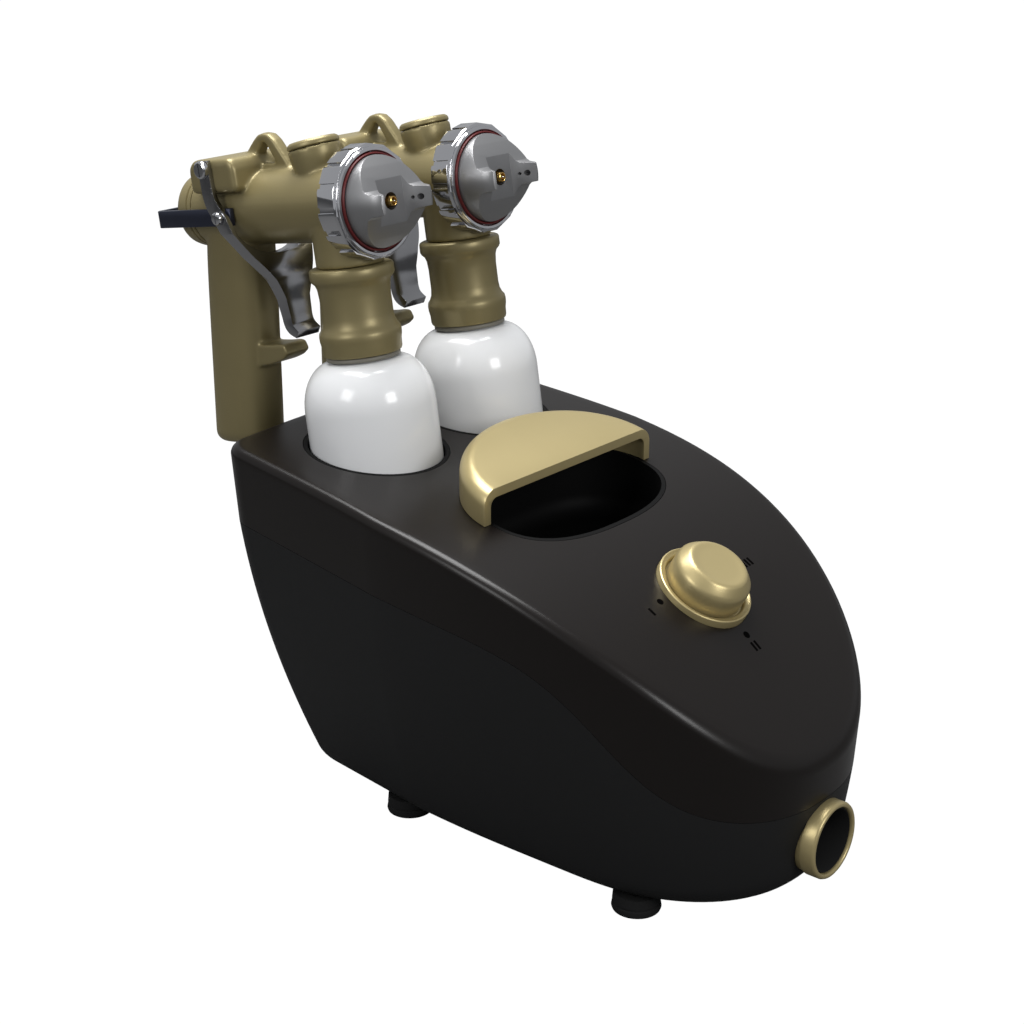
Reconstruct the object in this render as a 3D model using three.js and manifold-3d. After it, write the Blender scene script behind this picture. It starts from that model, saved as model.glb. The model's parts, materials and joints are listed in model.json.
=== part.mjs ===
// Turbine compressor for two cup-fed spray guns: a wedge-shaped casing with a carry handle and a
// switch knob, and two guns that stand with their cups in wells in the casing's deck.
// Millimetres, +Z up, nose towards -Y, and the object's plane of symmetry is x = 0.
import * as THREE from 'three';
import { mergeVertices } from 'three/addons/utils/BufferGeometryUtils.js';
import Module from 'manifold-3d';

const wasm = await Module();
wasm.setup();

// ---- Driving dimensions ----
const gap = 0.3;                 // clearance between pieces that rest on or pass each other
const largeRound = 24;           // facets round a large, a middling and a small cylinder
const mediumRound = 16;
const smallRound = 10;
const cupRound = 18;

// casing
const bodyLength = 306;          // nose tip to rear wall at deck level
const bodyHalfWidth = 105;       // at the widest station
const widestFromRear = 116;      // how far that station is from the rear wall
const rearNarrowing = 7.5;       // how much less the half-width is at the rear corners
const rearCornerRadius = 15;
const rearCrown = 4;             // how much the rear wall bows out
const nosePower = 2.4;           // superellipse power of the nose in plan
const deckRearHeight = 192.5;
const deckSlopeDrop = 27.5;      // straight part of the deck's fall from rear to nose
const deckNoseDrop = 85;         // extra fall that grows with the fourth power of the distance
const seamNoseHeight = 55.5;     // height of the joint between the shells at the nose
const seamRearRise = 97;
const seamRearFall = 30;
const seamStepPlace = 0.8;       // where the joint line sweeps down, as a share of the length
const seamStepWidth = 0.06;
const upperDraft = 0.055;        // how far the wall leans in per mm of height
const lowerDraft = 0.098;
const lowerTuck = 0.0009;        // extra lean that grows with the square of the depth
const shellWall = 2.6;
const deckEdgeRadius = 5;
const baseEdgeRadius = 13;
const footHeight = 10;
const footRadius = 12;
const footSideOffset = 57;
const frontFootY = -80;
const rearFootY = 66;

// carry handle and the finger recess below it
const handleHalfWidth = 65;
const handleFrontY = 7;
const handleDepth = 45;
const handleFrontHeight = 191;
const handleRise = 0.3;          // slope of the handle's top towards the rear
const handleWall = 4.5;
const handleShoulder = 8;        // height and depth of its rounded top edge
const recessFront = 30;          // how far the recess reaches in front of the handle
const recessWall = 2;
const recessFloorHeight = 143;

// control knob
const knobY = -73;
const bezelHeight = 5;
const bezelDepth = 5;
const knobRadius = 19.5;
const bezelWidth = 4.5;          // from the knob's side to the bezel's rim
const knobHeight = 17;
const shaftRadius = 3;
const switchDepth = 24;

// air path
const collarRadius = 19;
const collarBore = 15.5;
const collarHeight = 37;         // height of the outlet's axis
const collarReach = 5;           // how far the outlet's face stands out from the nose tip
const collarLength = 16;
const turbineRadius = 58;
const turbineBottom = 24;
const turbineHeight = 60;
const turbineY = 2;
const impellerRadius = 50;
const motorRadius = 31;
const motorHeight = 42;
const motorShaftRadius = 3;
const filterWidth = 76;
const filterHeight = 50;
const filterOffset = 20;
const rearFittingHeight = 92;
const inletWidth = 30;
const inletHeight = 48;
const inletOffset = -56;

// guns
const gunY = 119.4;
const gunZ = 308;
const gunTilt = THREE.MathUtils.degToRad(9);
const barrelRadius = 19;
const barrelFront = -17;
const barrelRear = 92;
const ringThickness = 9;         // from the barrel to the tops of the ring's lobes
const ringFront = -24.6;
const ringRear = -11.6;
const capOverhang = 3.2;         // how much wider the air cap is than the barrel
const hornReach = 45;
const channelFloor = 33.5;
const nozzleReach = 35.5;
const needleRadius = 1.25;
const chamberRadius = 9.3;
const chamberFront = 40;
const rearCapLength = 13;
const portRadius = 11.5;         // the stub on top of the barrel and the plug in it
const portPlug = 8;
const portTop = 29;
const portBack = 9.5;
const portLean = THREE.MathUtils.degToRad(9);
const lugTop = 27;
const yokeWall = 3;
const yokeRear = 116;
const yokeTop = 2.3;
const yokeBottom = -6.5;
const triggerWall = 2.6;
const pivotBack = 68.8;
const pivotUp = 22.5;
const linkBack = 62.7;
const linkUp = -2;
const pinRadius = 2.5;
const linkRadius = 1.5;
const handleGripDepth = 40;
const handleGripWidth = 28;
const gripBottom = -123;
const lidDrop = 11.3;            // from the underside of the barrel down to the lid
const lidHeight = 43.7;
const lidRadius = 19;
const cupRadius = 33;
const cupNeckRadius = 16;
const cupHeight = 80;            // below the lid
const cupWall = 1.6;
const cupClearance = 1.2;
const wellWall = 2;
const wellSpacing = 7.6;         // between the walls of the two cup wells

// ---- Sizes that follow from those ----
const rearY = 159;
const noseY = rearY - bodyLength;
const widestY = rearY - widestFromRear;
const rearHalfWidth = bodyHalfWidth - rearNarrowing;
const collarFaceY = noseY - collarReach;
const bezelRadius = knobRadius + bezelWidth;
const ringRadius = barrelRadius + ringThickness;
const capRadius = barrelRadius + capOverhang;
const lidTop = -(barrelRadius + lidDrop);
const lidBottom = lidTop - lidHeight;
const cupBottom = lidBottom - cupHeight;
const gunSpacing = 2 * (cupRadius + cupClearance + wellWall) + wellSpacing;

// ---- Finishes ----
const paint = (color, roughness, metalness = 0) =>
  new THREE.MeshStandardMaterial({ color, roughness, metalness });
const glossBlack = () => paint(0x1a1614, 0.25);
const mattBlack = () => paint(0x1c1c1d, 0.6);
const goldPaint = () => paint(0x8f8350, 0.45, 0.4);
const chrome = () => paint(0xc8c8cc, 0.12, 1);
const satinSteel = () => paint(0xa8a8aa, 0.35, 0.9);
const darkSteel = () => paint(0x2e3038, 0.4, 0.8);
const whiteGloss = () => paint(0xf0f0f0, 0.2);
const rubber = () => paint(0x101010, 0.9);
const redRubber = () => paint(0x6a1f1c, 0.6);
const greyRubber = () => paint(0x5c5a55, 0.7);
const brass = () => paint(0xb08a3c, 0.3, 1);
const foamGrey = () => paint(0x4a4a4c, 1);
const boardGreen = () => paint(0x1d5a34, 0.6);

// ---- Solids ----
const part = new THREE.Group();

function addPiece(group, name, geometry, finish) {
  const mesh = new THREE.Mesh(geometry, finish);
  mesh.name = name;
  group.add(mesh);
  return mesh;
}

function toSolid(geometry) {
  const bare = geometry.clone();
  bare.deleteAttribute('normal');
  bare.deleteAttribute('uv');
  const merged = mergeVertices(bare);
  return new wasm.Manifold(new wasm.Mesh({
    numProp: 3,
    vertProperties: new Float32Array(merged.attributes.position.array),
    triVerts: new Uint32Array(merged.index.array),
  }));
}

function toGeometry(solid) {
  const mesh = solid.getMesh();
  const geometry = new THREE.BufferGeometry();
  geometry.setAttribute('position', new THREE.BufferAttribute(mesh.vertProperties, 3));
  geometry.setIndex(new THREE.BufferAttribute(mesh.triVerts, 1));
  return geometry;
}

function join(...geometries) {
  return geometries.map(toSolid).reduce((whole, next) => whole.add(next));
}

function cut(solid, ...geometries) {
  return geometries.map(toSolid).reduce((whole, next) => whole.subtract(next), solid);
}

// closed profile of [radius, height] pairs turned about Z
function turned(profile, segments = mediumRound) {
  const points = profile.map(([r, z]) => new THREE.Vector2(r, z));
  return new THREE.LatheGeometry(points, segments).rotateX(Math.PI / 2);
}

// profile of [radius, back] pairs turned about Y
function turnedAlongY(profile, segments = mediumRound) {
  return turned(profile, segments).rotateX(-Math.PI / 2);
}

function ringProfile(outer, inner, low, high) {
  return [[inner, low], [outer, low], [outer, high], [inner, high], [inner, low]];
}

function rodProfile(radius, low, high) {
  return [[0, low], [radius, low], [radius, high], [0, high]];
}

function rodY(radius, from, to, segments = smallRound, x = 0, z = 0) {
  return turnedAlongY(rodProfile(radius, from, to), segments).translate(x, 0, z);
}

function rodX(radius, from, to, y, z, segments = smallRound) {
  return turned(rodProfile(radius, from, to), segments).rotateY(Math.PI / 2).translate(0, y, z);
}

function block(width, depth, height, x, y, z) {
  return new THREE.BoxGeometry(width, depth, height).translate(x, y, z);
}

function shapeFrom(points) {
  return new THREE.Shape(points.map(([a, b]) => new THREE.Vector2(a, b)));
}

// outline of [back, up] pairs in the YZ plane, given a width about x = 0
function plateAcross(shape, width, curveSegments = 8) {
  const geometry = new THREE.ExtrudeGeometry(shape, { depth: width, bevelEnabled: false, curveSegments });
  return geometry.rotateY(Math.PI / 2).rotateX(Math.PI / 2).translate(-width / 2, 0, 0);
}

// outline of [x, z] pairs pushed along +Y from one place to another
function plateAlong(shape, from, to, curveSegments = 8) {
  const geometry = new THREE.ExtrudeGeometry(shape, { depth: to - from, bevelEnabled: false, curveSegments });
  return geometry.rotateX(Math.PI / 2).translate(0, to, 0);
}

// closed body through rings of points; each ring turns counter-clockwise seen from its far end
function loft(rings, capTriangles) {
  const count = rings[0].length;
  const positions = rings.flat().flatMap((p) => [p.x, p.y, p.z]);
  const index = [];
  for (let k = 0; k < rings.length - 1; k++) {
    for (let i = 0; i < count; i++) {
      const a = k * count + i;
      const b = k * count + (i + 1) % count;
      index.push(a, b, b + count, a, b + count, a + count);
    }
  }
  const last = (rings.length - 1) * count;
  for (const [a, b, c] of capTriangles(count)) {
    index.push(a, c, b);
    index.push(last + a, last + b, last + c);
  }
  const geometry = new THREE.BufferGeometry();
  geometry.setAttribute('position', new THREE.Float32BufferAttribute(positions, 3));
  geometry.setIndex(index);
  return geometry;
}

// cap that joins each point to its mirror image, point 0 and the middle point being on x = 0
function ladderCap(count) {
  const half = count / 2;
  const triangles = [[0, 1, count - 1]];
  for (let i = 1; i < half - 1; i++) {
    triangles.push([i, i + 1, count - i - 1], [i, count - i - 1, count - i]);
  }
  triangles.push([half - 1, half, half + 1]);
  return triangles;
}

// ---- Casing surfaces ----
function deckHeight(y) {
  const share = Math.max(0, (rearY - y) / bodyLength);
  return deckRearHeight - deckSlopeDrop * share - deckNoseDrop * share ** 4;
}

function seamHeight(y) {
  const share = (rearY - y) / bodyLength;
  const step = 1 / (1 + Math.exp((share - seamStepPlace) / seamStepWidth));
  return seamNoseHeight + (seamRearRise - seamRearFall * share) * step;
}

// half of the plan outline at deck level, from the nose tip round to the middle of the rear wall
function halfOutline() {
  const points = [];
  const noseSteps = 11;
  for (let i = 0; i <= noseSteps; i++) {
    const angle = (i / noseSteps) * Math.PI / 2;
    const x = bodyHalfWidth * Math.sin(angle) ** (2 / nosePower);
    const y = widestY - (widestY - noseY) * Math.cos(angle) ** (2 / nosePower);
    points.push({ x, y });
  }
  const sideSteps = 3;
  const cornerY = rearY - rearCornerRadius - rearCrown;
  for (let i = 1; i <= sideSteps; i++) {
    const share = i / sideSteps;
    points.push({
      x: bodyHalfWidth + (rearHalfWidth - bodyHalfWidth) * share,
      y: widestY + (cornerY - widestY) * share,
    });
  }
  const cornerSteps = 4;
  for (let i = 1; i <= cornerSteps; i++) {
    const angle = (i / cornerSteps) * Math.PI / 2;
    points.push({
      x: rearHalfWidth - rearCornerRadius * (1 - Math.cos(angle)),
      y: cornerY + rearCornerRadius * Math.sin(angle),
    });
  }
  const wallHalf = rearHalfWidth - rearCornerRadius;
  for (const share of [0.66, 0.33, 0]) {
    points.push({ x: wallHalf * share, y: rearY - rearCrown * share ** 2 });
  }
  return points;
}

const half = halfOutline();
const outline = [...half, ...half.slice(1, -1).reverse().map((p) => ({ x: -p.x, y: p.y }))];

// a point of the outline moved in towards the spine of the casing
function movedIn(p, distance) {
  const share = distance / bodyHalfWidth;
  const frontShare = (widestY - p.y) / (widestY - noseY);
  const rearShare = (p.y - widestY) / widestFromRear;
  const spineY = p.y < widestY
    ? widestY - (widestY - noseY - bodyHalfWidth) * frontShare
    : widestY + (widestFromRear - bodyHalfWidth) * rearShare;
  return { x: p.x * (1 - share), y: p.y + (spineY - p.y) * share };
}

function wallInset(p, z) {
  const seam = seamHeight(p.y);
  const below = Math.max(0, seam - z);
  const above = deckHeight(p.y) - Math.max(z, seam);
  return above * upperDraft + below * lowerDraft + below * below * lowerTuck;
}

function wallRing(heightOf, inward = 0) {
  return outline.map((p) => {
    const z = heightOf(p);
    return { ...movedIn(p, wallInset(p, z) + inward), z };
  });
}

function deckRing(inward, drop) {
  return outline.map((p) => {
    const moved = movedIn(p, inward);
    return { ...moved, z: deckHeight(moved.y) - drop };
  });
}

const between = (low, high, share) => low + (high - low) * share;

// everything above the deck, used to trim pieces that end flush with it
function aboveDeck(lift = 0) {
  const steps = 30;
  const points = [];
  for (let i = 0; i <= steps; i++) {
    const y = between(noseY - 10, rearY + 40, i / steps);
    points.push([y, deckHeight(y) + lift]);
  }
  points.push([rearY + 40, deckRearHeight + 80], [noseY - 10, deckRearHeight + 80]);
  return plateAcross(shapeFrom(points), 3 * bodyHalfWidth);
}

// ---- Frames that the pieces sit in ----
// a gun's frame: origin where the barrel's axis meets the cup's, +Y back along the barrel
function gunFrame(side) {
  return new THREE.Matrix4()
    .makeTranslation(side * gunSpacing / 2, gunY, gunZ)
    .multiply(new THREE.Matrix4().makeRotationX(-gunTilt));
}

// the knob's frame: origin on the deck, +Z out of it
const knobSlope = (deckHeight(knobY + 1) - deckHeight(knobY - 1)) / 2;
const knobFrame = new THREE.Matrix4()
  .makeTranslation(0, knobY, deckHeight(knobY))
  .multiply(new THREE.Matrix4().makeRotationX(Math.atan(knobSlope)));

// the rear fittings' frame: origin on the rear wall, +Y out of it
function rearWallY(z) {
  const middle = { x: 0, y: rearY };
  return movedIn(middle, wallInset(middle, z)).y;
}
const rearSlope = (rearWallY(rearFittingHeight + 5) - rearWallY(rearFittingHeight - 5)) / 10;
const rearFrame = new THREE.Matrix4()
  .makeTranslation(0, rearWallY(rearFittingHeight), rearFittingHeight)
  .multiply(new THREE.Matrix4().makeRotationX(-Math.atan(rearSlope)));

// ---- Casing ----
function recessRing(grow, heightOf) {
  const steps = 28;
  const across = handleHalfWidth - handleWall - gap - recessWall + grow;
  return Array.from({ length: steps }, (_, i) => {
    const angle = (i / steps) * 2 * Math.PI - Math.PI / 2;
    const side = Math.sign(Math.cos(angle)) * Math.abs(Math.cos(angle)) ** 0.8 * across;
    const reach = Math.sin(angle) < 0 ? recessFront + grow : handleDepth - handleWall - recessWall + grow;
    const x = Math.abs(Math.cos(angle)) < 1e-9 ? 0 : side;
    const y = handleFrontY + Math.sign(Math.sin(angle)) * Math.abs(Math.sin(angle)) ** 0.8 * reach;
    return { x, y, z: heightOf(y) };
  });
}

function makeGripWell() {
  const floor = recessFloorHeight;
  const outside = loft([
    recessRing(recessWall - 5, () => floor - recessWall),
    recessRing(recessWall, () => floor + 6),
    recessRing(recessWall, () => deckRearHeight + 5),
  ], ladderCap);
  const inside = loft([
    recessRing(-5, () => floor),
    recessRing(0, () => floor + 6),
    recessRing(0, () => deckRearHeight + 20),
  ], ladderCap);
  return toGeometry(cut(join(outside), inside, aboveDeck()));
}

function makeUpperShell() {
  const seam = (p) => seamHeight(p.y) + gap / 2;
  const rim = (p) => deckHeight(p.y) - deckEdgeRadius;
  const rimInside = (p) => rim(p) - shellWall / 2;
  const casing = loft([
    deckRing(deckEdgeRadius + 0.7 * shellWall, 1.15 * shellWall),
    wallRing(rimInside, shellWall),
    wallRing(seam, shellWall),
    wallRing(seam),
    wallRing(rim),
    deckRing(0.3 * deckEdgeRadius + 0.3, 0.3 * deckEdgeRadius),
    deckRing(deckEdgeRadius, 0),
  ], ladderCap);
  const cutters = [
    loft([
      recessRing(recessWall + gap, () => recessFloorHeight - 10),
      recessRing(recessWall + gap, () => deckRearHeight + 10),
    ], ladderCap),
    turned(rodProfile(bezelRadius + gap, -20, 20), largeRound).applyMatrix4(knobFrame),
  ];
  for (const side of [-1, 1]) {
    const radius = cupRadius + cupClearance + wellWall + gap;
    const bore = turned(rodProfile(radius, cupBottom - 5, cupBottom + 90), largeRound);
    cutters.push(bore.applyMatrix4(gunFrame(side)));
  }
  return toGeometry(cut(join(casing), ...cutters));
}

function rearOpening(width, height, offset) {
  return block(width + 2 * gap, 30, height + 2 * gap, offset, 0, 0).applyMatrix4(rearFrame);
}

function makeLowerShell() {
  const seam = (p) => seamHeight(p.y) - gap / 2;
  const foot = () => footHeight + baseEdgeRadius;
  const level = (share) => (p) => between(foot(), seam(p), share);
  const casing = loft([
    wallRing(() => footHeight, baseEdgeRadius),
    wallRing(() => footHeight + 0.3 * baseEdgeRadius, 0.3 * baseEdgeRadius),
    wallRing(foot),
    wallRing(level(0.35)),
    wallRing(level(0.7)),
    wallRing(seam),
    wallRing(seam, shellWall),
    wallRing(level(0.7), shellWall),
    wallRing(level(0.35), shellWall),
    wallRing(foot, shellWall),
    wallRing(() => footHeight + shellWall, baseEdgeRadius),
  ], ladderCap);
  return toGeometry(cut(join(casing),
    rodY(collarRadius - 1 + gap, collarFaceY - 5, noseY + 30, largeRound, 0, collarHeight),
    rearOpening(filterWidth, filterHeight, filterOffset),
    rearOpening(inletWidth, inletHeight, inletOffset)));
}

function handleRing(inset, heightOf, frontY) {
  const steps = 16;
  const ring = [{ x: 0, y: frontY, z: heightOf(frontY) }];
  for (let i = 0; i <= steps; i++) {
    const angle = (i / steps) * Math.PI;
    const x = Math.abs(i - steps / 2) < 0.1 ? 0 : (handleHalfWidth - inset) * Math.cos(angle);
    const curved = handleFrontY + (handleDepth - inset) * Math.sin(angle);
    const y = i === 0 || i === steps ? frontY : curved;
    ring.push({ x, y, z: heightOf(y) });
  }
  return ring;
}

// cap for a half-round ring whose point 0 is in the middle of its straight edge
function halfRoundCap(count) {
  const triangles = [[0, 1, 2], [0, 2, count - 2], [0, count - 2, count - 1]];
  for (let i = 2; i < count / 2 - 1; i++) {
    triangles.push([i, i + 1, count - i - 1], [i, count - i - 1, count - i]);
  }
  triangles.push([count / 2 - 1, count / 2, count / 2 + 1]);
  return triangles;
}

function makeCarryHandle() {
  const top = (drop) => (y) => handleFrontHeight + handleRise * (y - handleFrontY) - drop;
  const front = handleFrontY;
  const outside = loft([
    handleRing(0, () => recessFloorHeight, front),
    handleRing(0, top(handleShoulder), front),
    handleRing(0.3 * handleShoulder, top(0.3 * handleShoulder), front),
    handleRing(handleShoulder, top(0), front),
  ], halfRoundCap);
  const inside = loft([
    handleRing(handleWall, () => recessFloorHeight - 10, front - 20),
    handleRing(handleWall, top(handleShoulder), front - 20),
    handleRing(handleWall + 0.3 * handleShoulder, top(handleWall + 0.2 * handleShoulder), front - 20),
    handleRing(handleShoulder + handleWall, top(handleWall), front - 20),
  ], halfRoundCap);
  const trimmed = toSolid(outside).subtract(toSolid(inside)).intersect(toSolid(aboveDeck(gap)));
  return toGeometry(trimmed);
}

function makeFoot() {
  return turned([
    [0, 0], [footRadius - 1.5, 0], [footRadius, 1.5], [footRadius - 1, footHeight - gap],
    [0, footHeight - gap],
  ], smallRound + 2);
}

function buildCasing() {
  addPiece(part, 'lower_shell', makeLowerShell(), mattBlack());
  addPiece(part, 'upper_shell', makeUpperShell(), glossBlack());
  addPiece(part, 'grip_well', makeGripWell(), mattBlack());
  addPiece(part, 'carry_handle', makeCarryHandle(), goldPaint());
  const feet = [
    ['foot_front_left', -1, frontFootY], ['foot_front_right', 1, frontFootY],
    ['foot_rear_left', -1, rearFootY], ['foot_rear_right', 1, rearFootY],
  ];
  for (const [name, side, y] of feet) {
    addPiece(part, name, makeFoot(), rubber()).position.set(side * footSideOffset, y, 0);
  }
  for (const [name, side] of [['left_cup_well', -1], ['right_cup_well', 1]]) {
    const inner = cupRadius + cupClearance;
    const floor = cupBottom - gap;
    const well = turned([
      [0, floor - wellWall], [inner + wellWall, floor - wellWall], [inner + wellWall, floor + 70],
      [inner, floor + 70], [inner, floor], [0, floor],
    ], largeRound).applyMatrix4(gunFrame(side));
    addPiece(part, name, toGeometry(cut(join(well), aboveDeck())), mattBlack());
  }
}

// ---- Control knob ----
function buildKnob() {
  const group = new THREE.Group();
  knobFrame.decompose(group.position, group.quaternion, group.scale);
  part.add(group);
  const boreRadius = shaftRadius + gap;
  const socketDepth = 8;
  addPiece(group, 'knob_bezel', turned([
    [boreRadius + 2, -bezelDepth], [bezelRadius, -bezelDepth], [bezelRadius, bezelHeight - 2],
    [bezelRadius - 2, bezelHeight], [knobRadius + 1, bezelHeight], [knobRadius + 0.6, 0],
    [boreRadius + 2, 0], [boreRadius + 2, -bezelDepth],
  ], largeRound), goldPaint());
  addPiece(group, 'control_knob', turned([
    [0, socketDepth], [boreRadius, socketDepth], [boreRadius, gap], [knobRadius, gap],
    [knobRadius, bezelHeight + 4],
    [knobRadius - 1.5, knobHeight - 3], [knobRadius - 4.5, knobHeight], [0, knobHeight],
  ], largeRound), goldPaint());
  const shaft = rodProfile(shaftRadius, -bezelDepth - 2, socketDepth - gap);
  addPiece(group, 'knob_shaft', turned(shaft, smallRound), satinSteel());
  const switchTop = -bezelDepth - gap;
  addPiece(group, 'switch_body', toGeometry(cut(
    join(block(34, 34, switchDepth, 0, 0, switchTop - switchDepth / 2)),
    turned(rodProfile(shaftRadius + gap, switchTop - 8, switchTop + 1), smallRound))), mattBlack());
}

// ---- Turbine and its air path ----
function buildTurbine() {
  const group = new THREE.Group();
  group.position.set(0, turbineY, turbineBottom);
  part.add(group);
  const wall = 3;
  const portFront = -turbineRadius - 6;
  const portHeight = collarHeight - turbineBottom;
  const drum = turned([
    [20, 0], [turbineRadius, 0], [turbineRadius, turbineHeight], [9, turbineHeight],
    [9, turbineHeight - wall], [turbineRadius - wall, turbineHeight - wall],
    [turbineRadius - wall, wall], [20, wall], [20, 0],
  ], largeRound);
  const shortPort = rodY(collarRadius - 6, portFront, -turbineRadius + 2, mediumRound, 0, portHeight);
  const shortBore = rodY(collarRadius - 8, portFront - 1, -turbineRadius + 10, mediumRound, 0, portHeight);
  addPiece(group, 'turbine_housing', toGeometry(cut(join(drum, shortPort), shortBore)), satinSteel());

  const wheelLow = 20;
  const hubRadius = 9;
  const bore = motorShaftRadius + gap;
  const wheelPieces = [
    turned(ringProfile(impellerRadius, bore, wheelLow, wheelLow + 2), largeRound),
    turned(ringProfile(hubRadius, bore, wheelLow, wheelLow + 22), smallRound),
  ];
  const bladeCount = 10;
  for (let i = 0; i < bladeCount; i++) {
    const length = impellerRadius - hubRadius;
    wheelPieces.push(block(length, 1.6, 17, hubRadius - 1 + length / 2, 0, wheelLow + 9)
      .rotateZ((i / bladeCount) * 2 * Math.PI));
  }
  addPiece(group, 'impeller', toGeometry(join(...wheelPieces)), satinSteel());

  const motorLow = turbineHeight + gap;
  const shaft = rodProfile(motorShaftRadius, wheelLow - 3, motorLow + motorHeight - 6);
  addPiece(group, 'motor_shaft', turned(shaft, smallRound), satinSteel());
  addPiece(group, 'motor_can', turned([
    [bore, motorLow], [motorRadius, motorLow], [motorRadius, motorLow + motorHeight - 3],
    [motorRadius - 3, motorLow + motorHeight], [0, motorLow + motorHeight],
    [0, motorLow + motorHeight - 5], [bore, motorLow + motorHeight - 5], [bore, motorLow],
  ]), satinSteel());

  const ductRear = turbineY + portFront - gap;
  const collarRear = collarFaceY + collarLength;
  const duct = turnedAlongY(ringProfile(collarRadius - 1, collarBore, collarRear + gap, ductRear));
  addPiece(part, 'outlet_duct', duct.translate(0, 0, collarHeight), mattBlack());
  addPiece(part, 'outlet_collar', turnedAlongY([
    [collarBore, collarFaceY + 1], [collarBore + 1, collarFaceY], [collarRadius - 1, collarFaceY],
    [collarRadius, collarFaceY + 1.2], [collarRadius, noseY - gap], [collarRadius - 1, noseY - gap],
    [collarRadius - 1, collarRear], [collarBore, collarRear], [collarBore, collarFaceY + 1],
  ], largeRound).translate(0, 0, collarHeight), goldPaint());
}

// ---- Rear fittings and electrics ----
function buildRearFittings() {
  const group = new THREE.Group();
  rearFrame.decompose(group.position, group.quaternion, group.scale);
  part.add(group);
  const proud = 1.2;
  const coverDepth = 6;
  const slots = [];
  const slotCount = 6;
  for (let i = 0; i < slotCount; i++) {
    const z = (i - (slotCount - 1) / 2) * 7;
    slots.push(block(filterWidth - 14, coverDepth + 4, 3, filterOffset, proud - coverDepth / 2, z));
  }
  const plate = block(filterWidth, coverDepth, filterHeight, filterOffset, proud - coverDepth / 2, 0);
  addPiece(group, 'filter_cover', toGeometry(cut(join(plate), ...slots)), mattBlack());
  addPiece(group, 'filter_foam', block(filterWidth - 4, 10, filterHeight - 4,
    filterOffset, proud - coverDepth - gap - 5, 0), foamGrey());

  const socketDepth = 24;
  const shell = block(inletWidth, socketDepth, inletHeight, inletOffset, proud - socketDepth / 2, 0);
  const mouth = block(inletWidth - 8, 16, inletHeight - 18, inletOffset, proud - 6, 0);
  const blades = [-9, 0, 9].map((z) => block(5, 10, 2, inletOffset, proud - 11, z));
  addPiece(group, 'power_inlet', toGeometry(blades.map(toSolid)
    .reduce((whole, next) => whole.add(next), cut(join(shell), mouth))), mattBlack());
  addPiece(part, 'circuit_board', block(64, 40, 1.6, 0, -92, 70), boardGreen());
}

// ---- Guns ----
// outline of a strip that follows a smooth curve and changes width on the way
function stripShape(points, widths, steps = 6) {
  const curve = new THREE.CatmullRomCurve3(points.map(([a, b]) => new THREE.Vector3(a, b, 0)));
  const widthCurve = new THREE.CatmullRomCurve3(widths.map((w, i) => new THREE.Vector3(i, w, 0)));
  const near = [];
  const far = [];
  for (let i = 0; i <= steps; i++) {
    const centre = curve.getPoint(i / steps);
    const along = curve.getTangent(i / steps);
    const offset = widthCurve.getPoint(i / steps).y / 2;
    near.push([centre.x - along.y * offset, centre.y + along.x * offset]);
    far.push([centre.x + along.y * offset, centre.y - along.x * offset]);
  }
  return shapeFrom([...near, ...far.reverse()]);
}

function gripRing(back, up, depth, width) {
  const steps = 16;
  const power = 0.8;
  return Array.from({ length: steps }, (_, i) => {
    const angle = (i / steps) * 2 * Math.PI - Math.PI / 2;
    const c = Math.cos(angle);
    const s = Math.sin(angle);
    const x = Math.sign(c) * Math.abs(c) ** power * width / 2;
    const y = back + Math.sign(s) * Math.abs(s) ** power * depth / 2;
    return { x: Math.abs(c) < 1e-9 ? 0 : x, y, z: up };
  });
}

const gripLean = 0.16;
const gripBackAt = (up) => 75.5 - gripLean * up;

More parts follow.
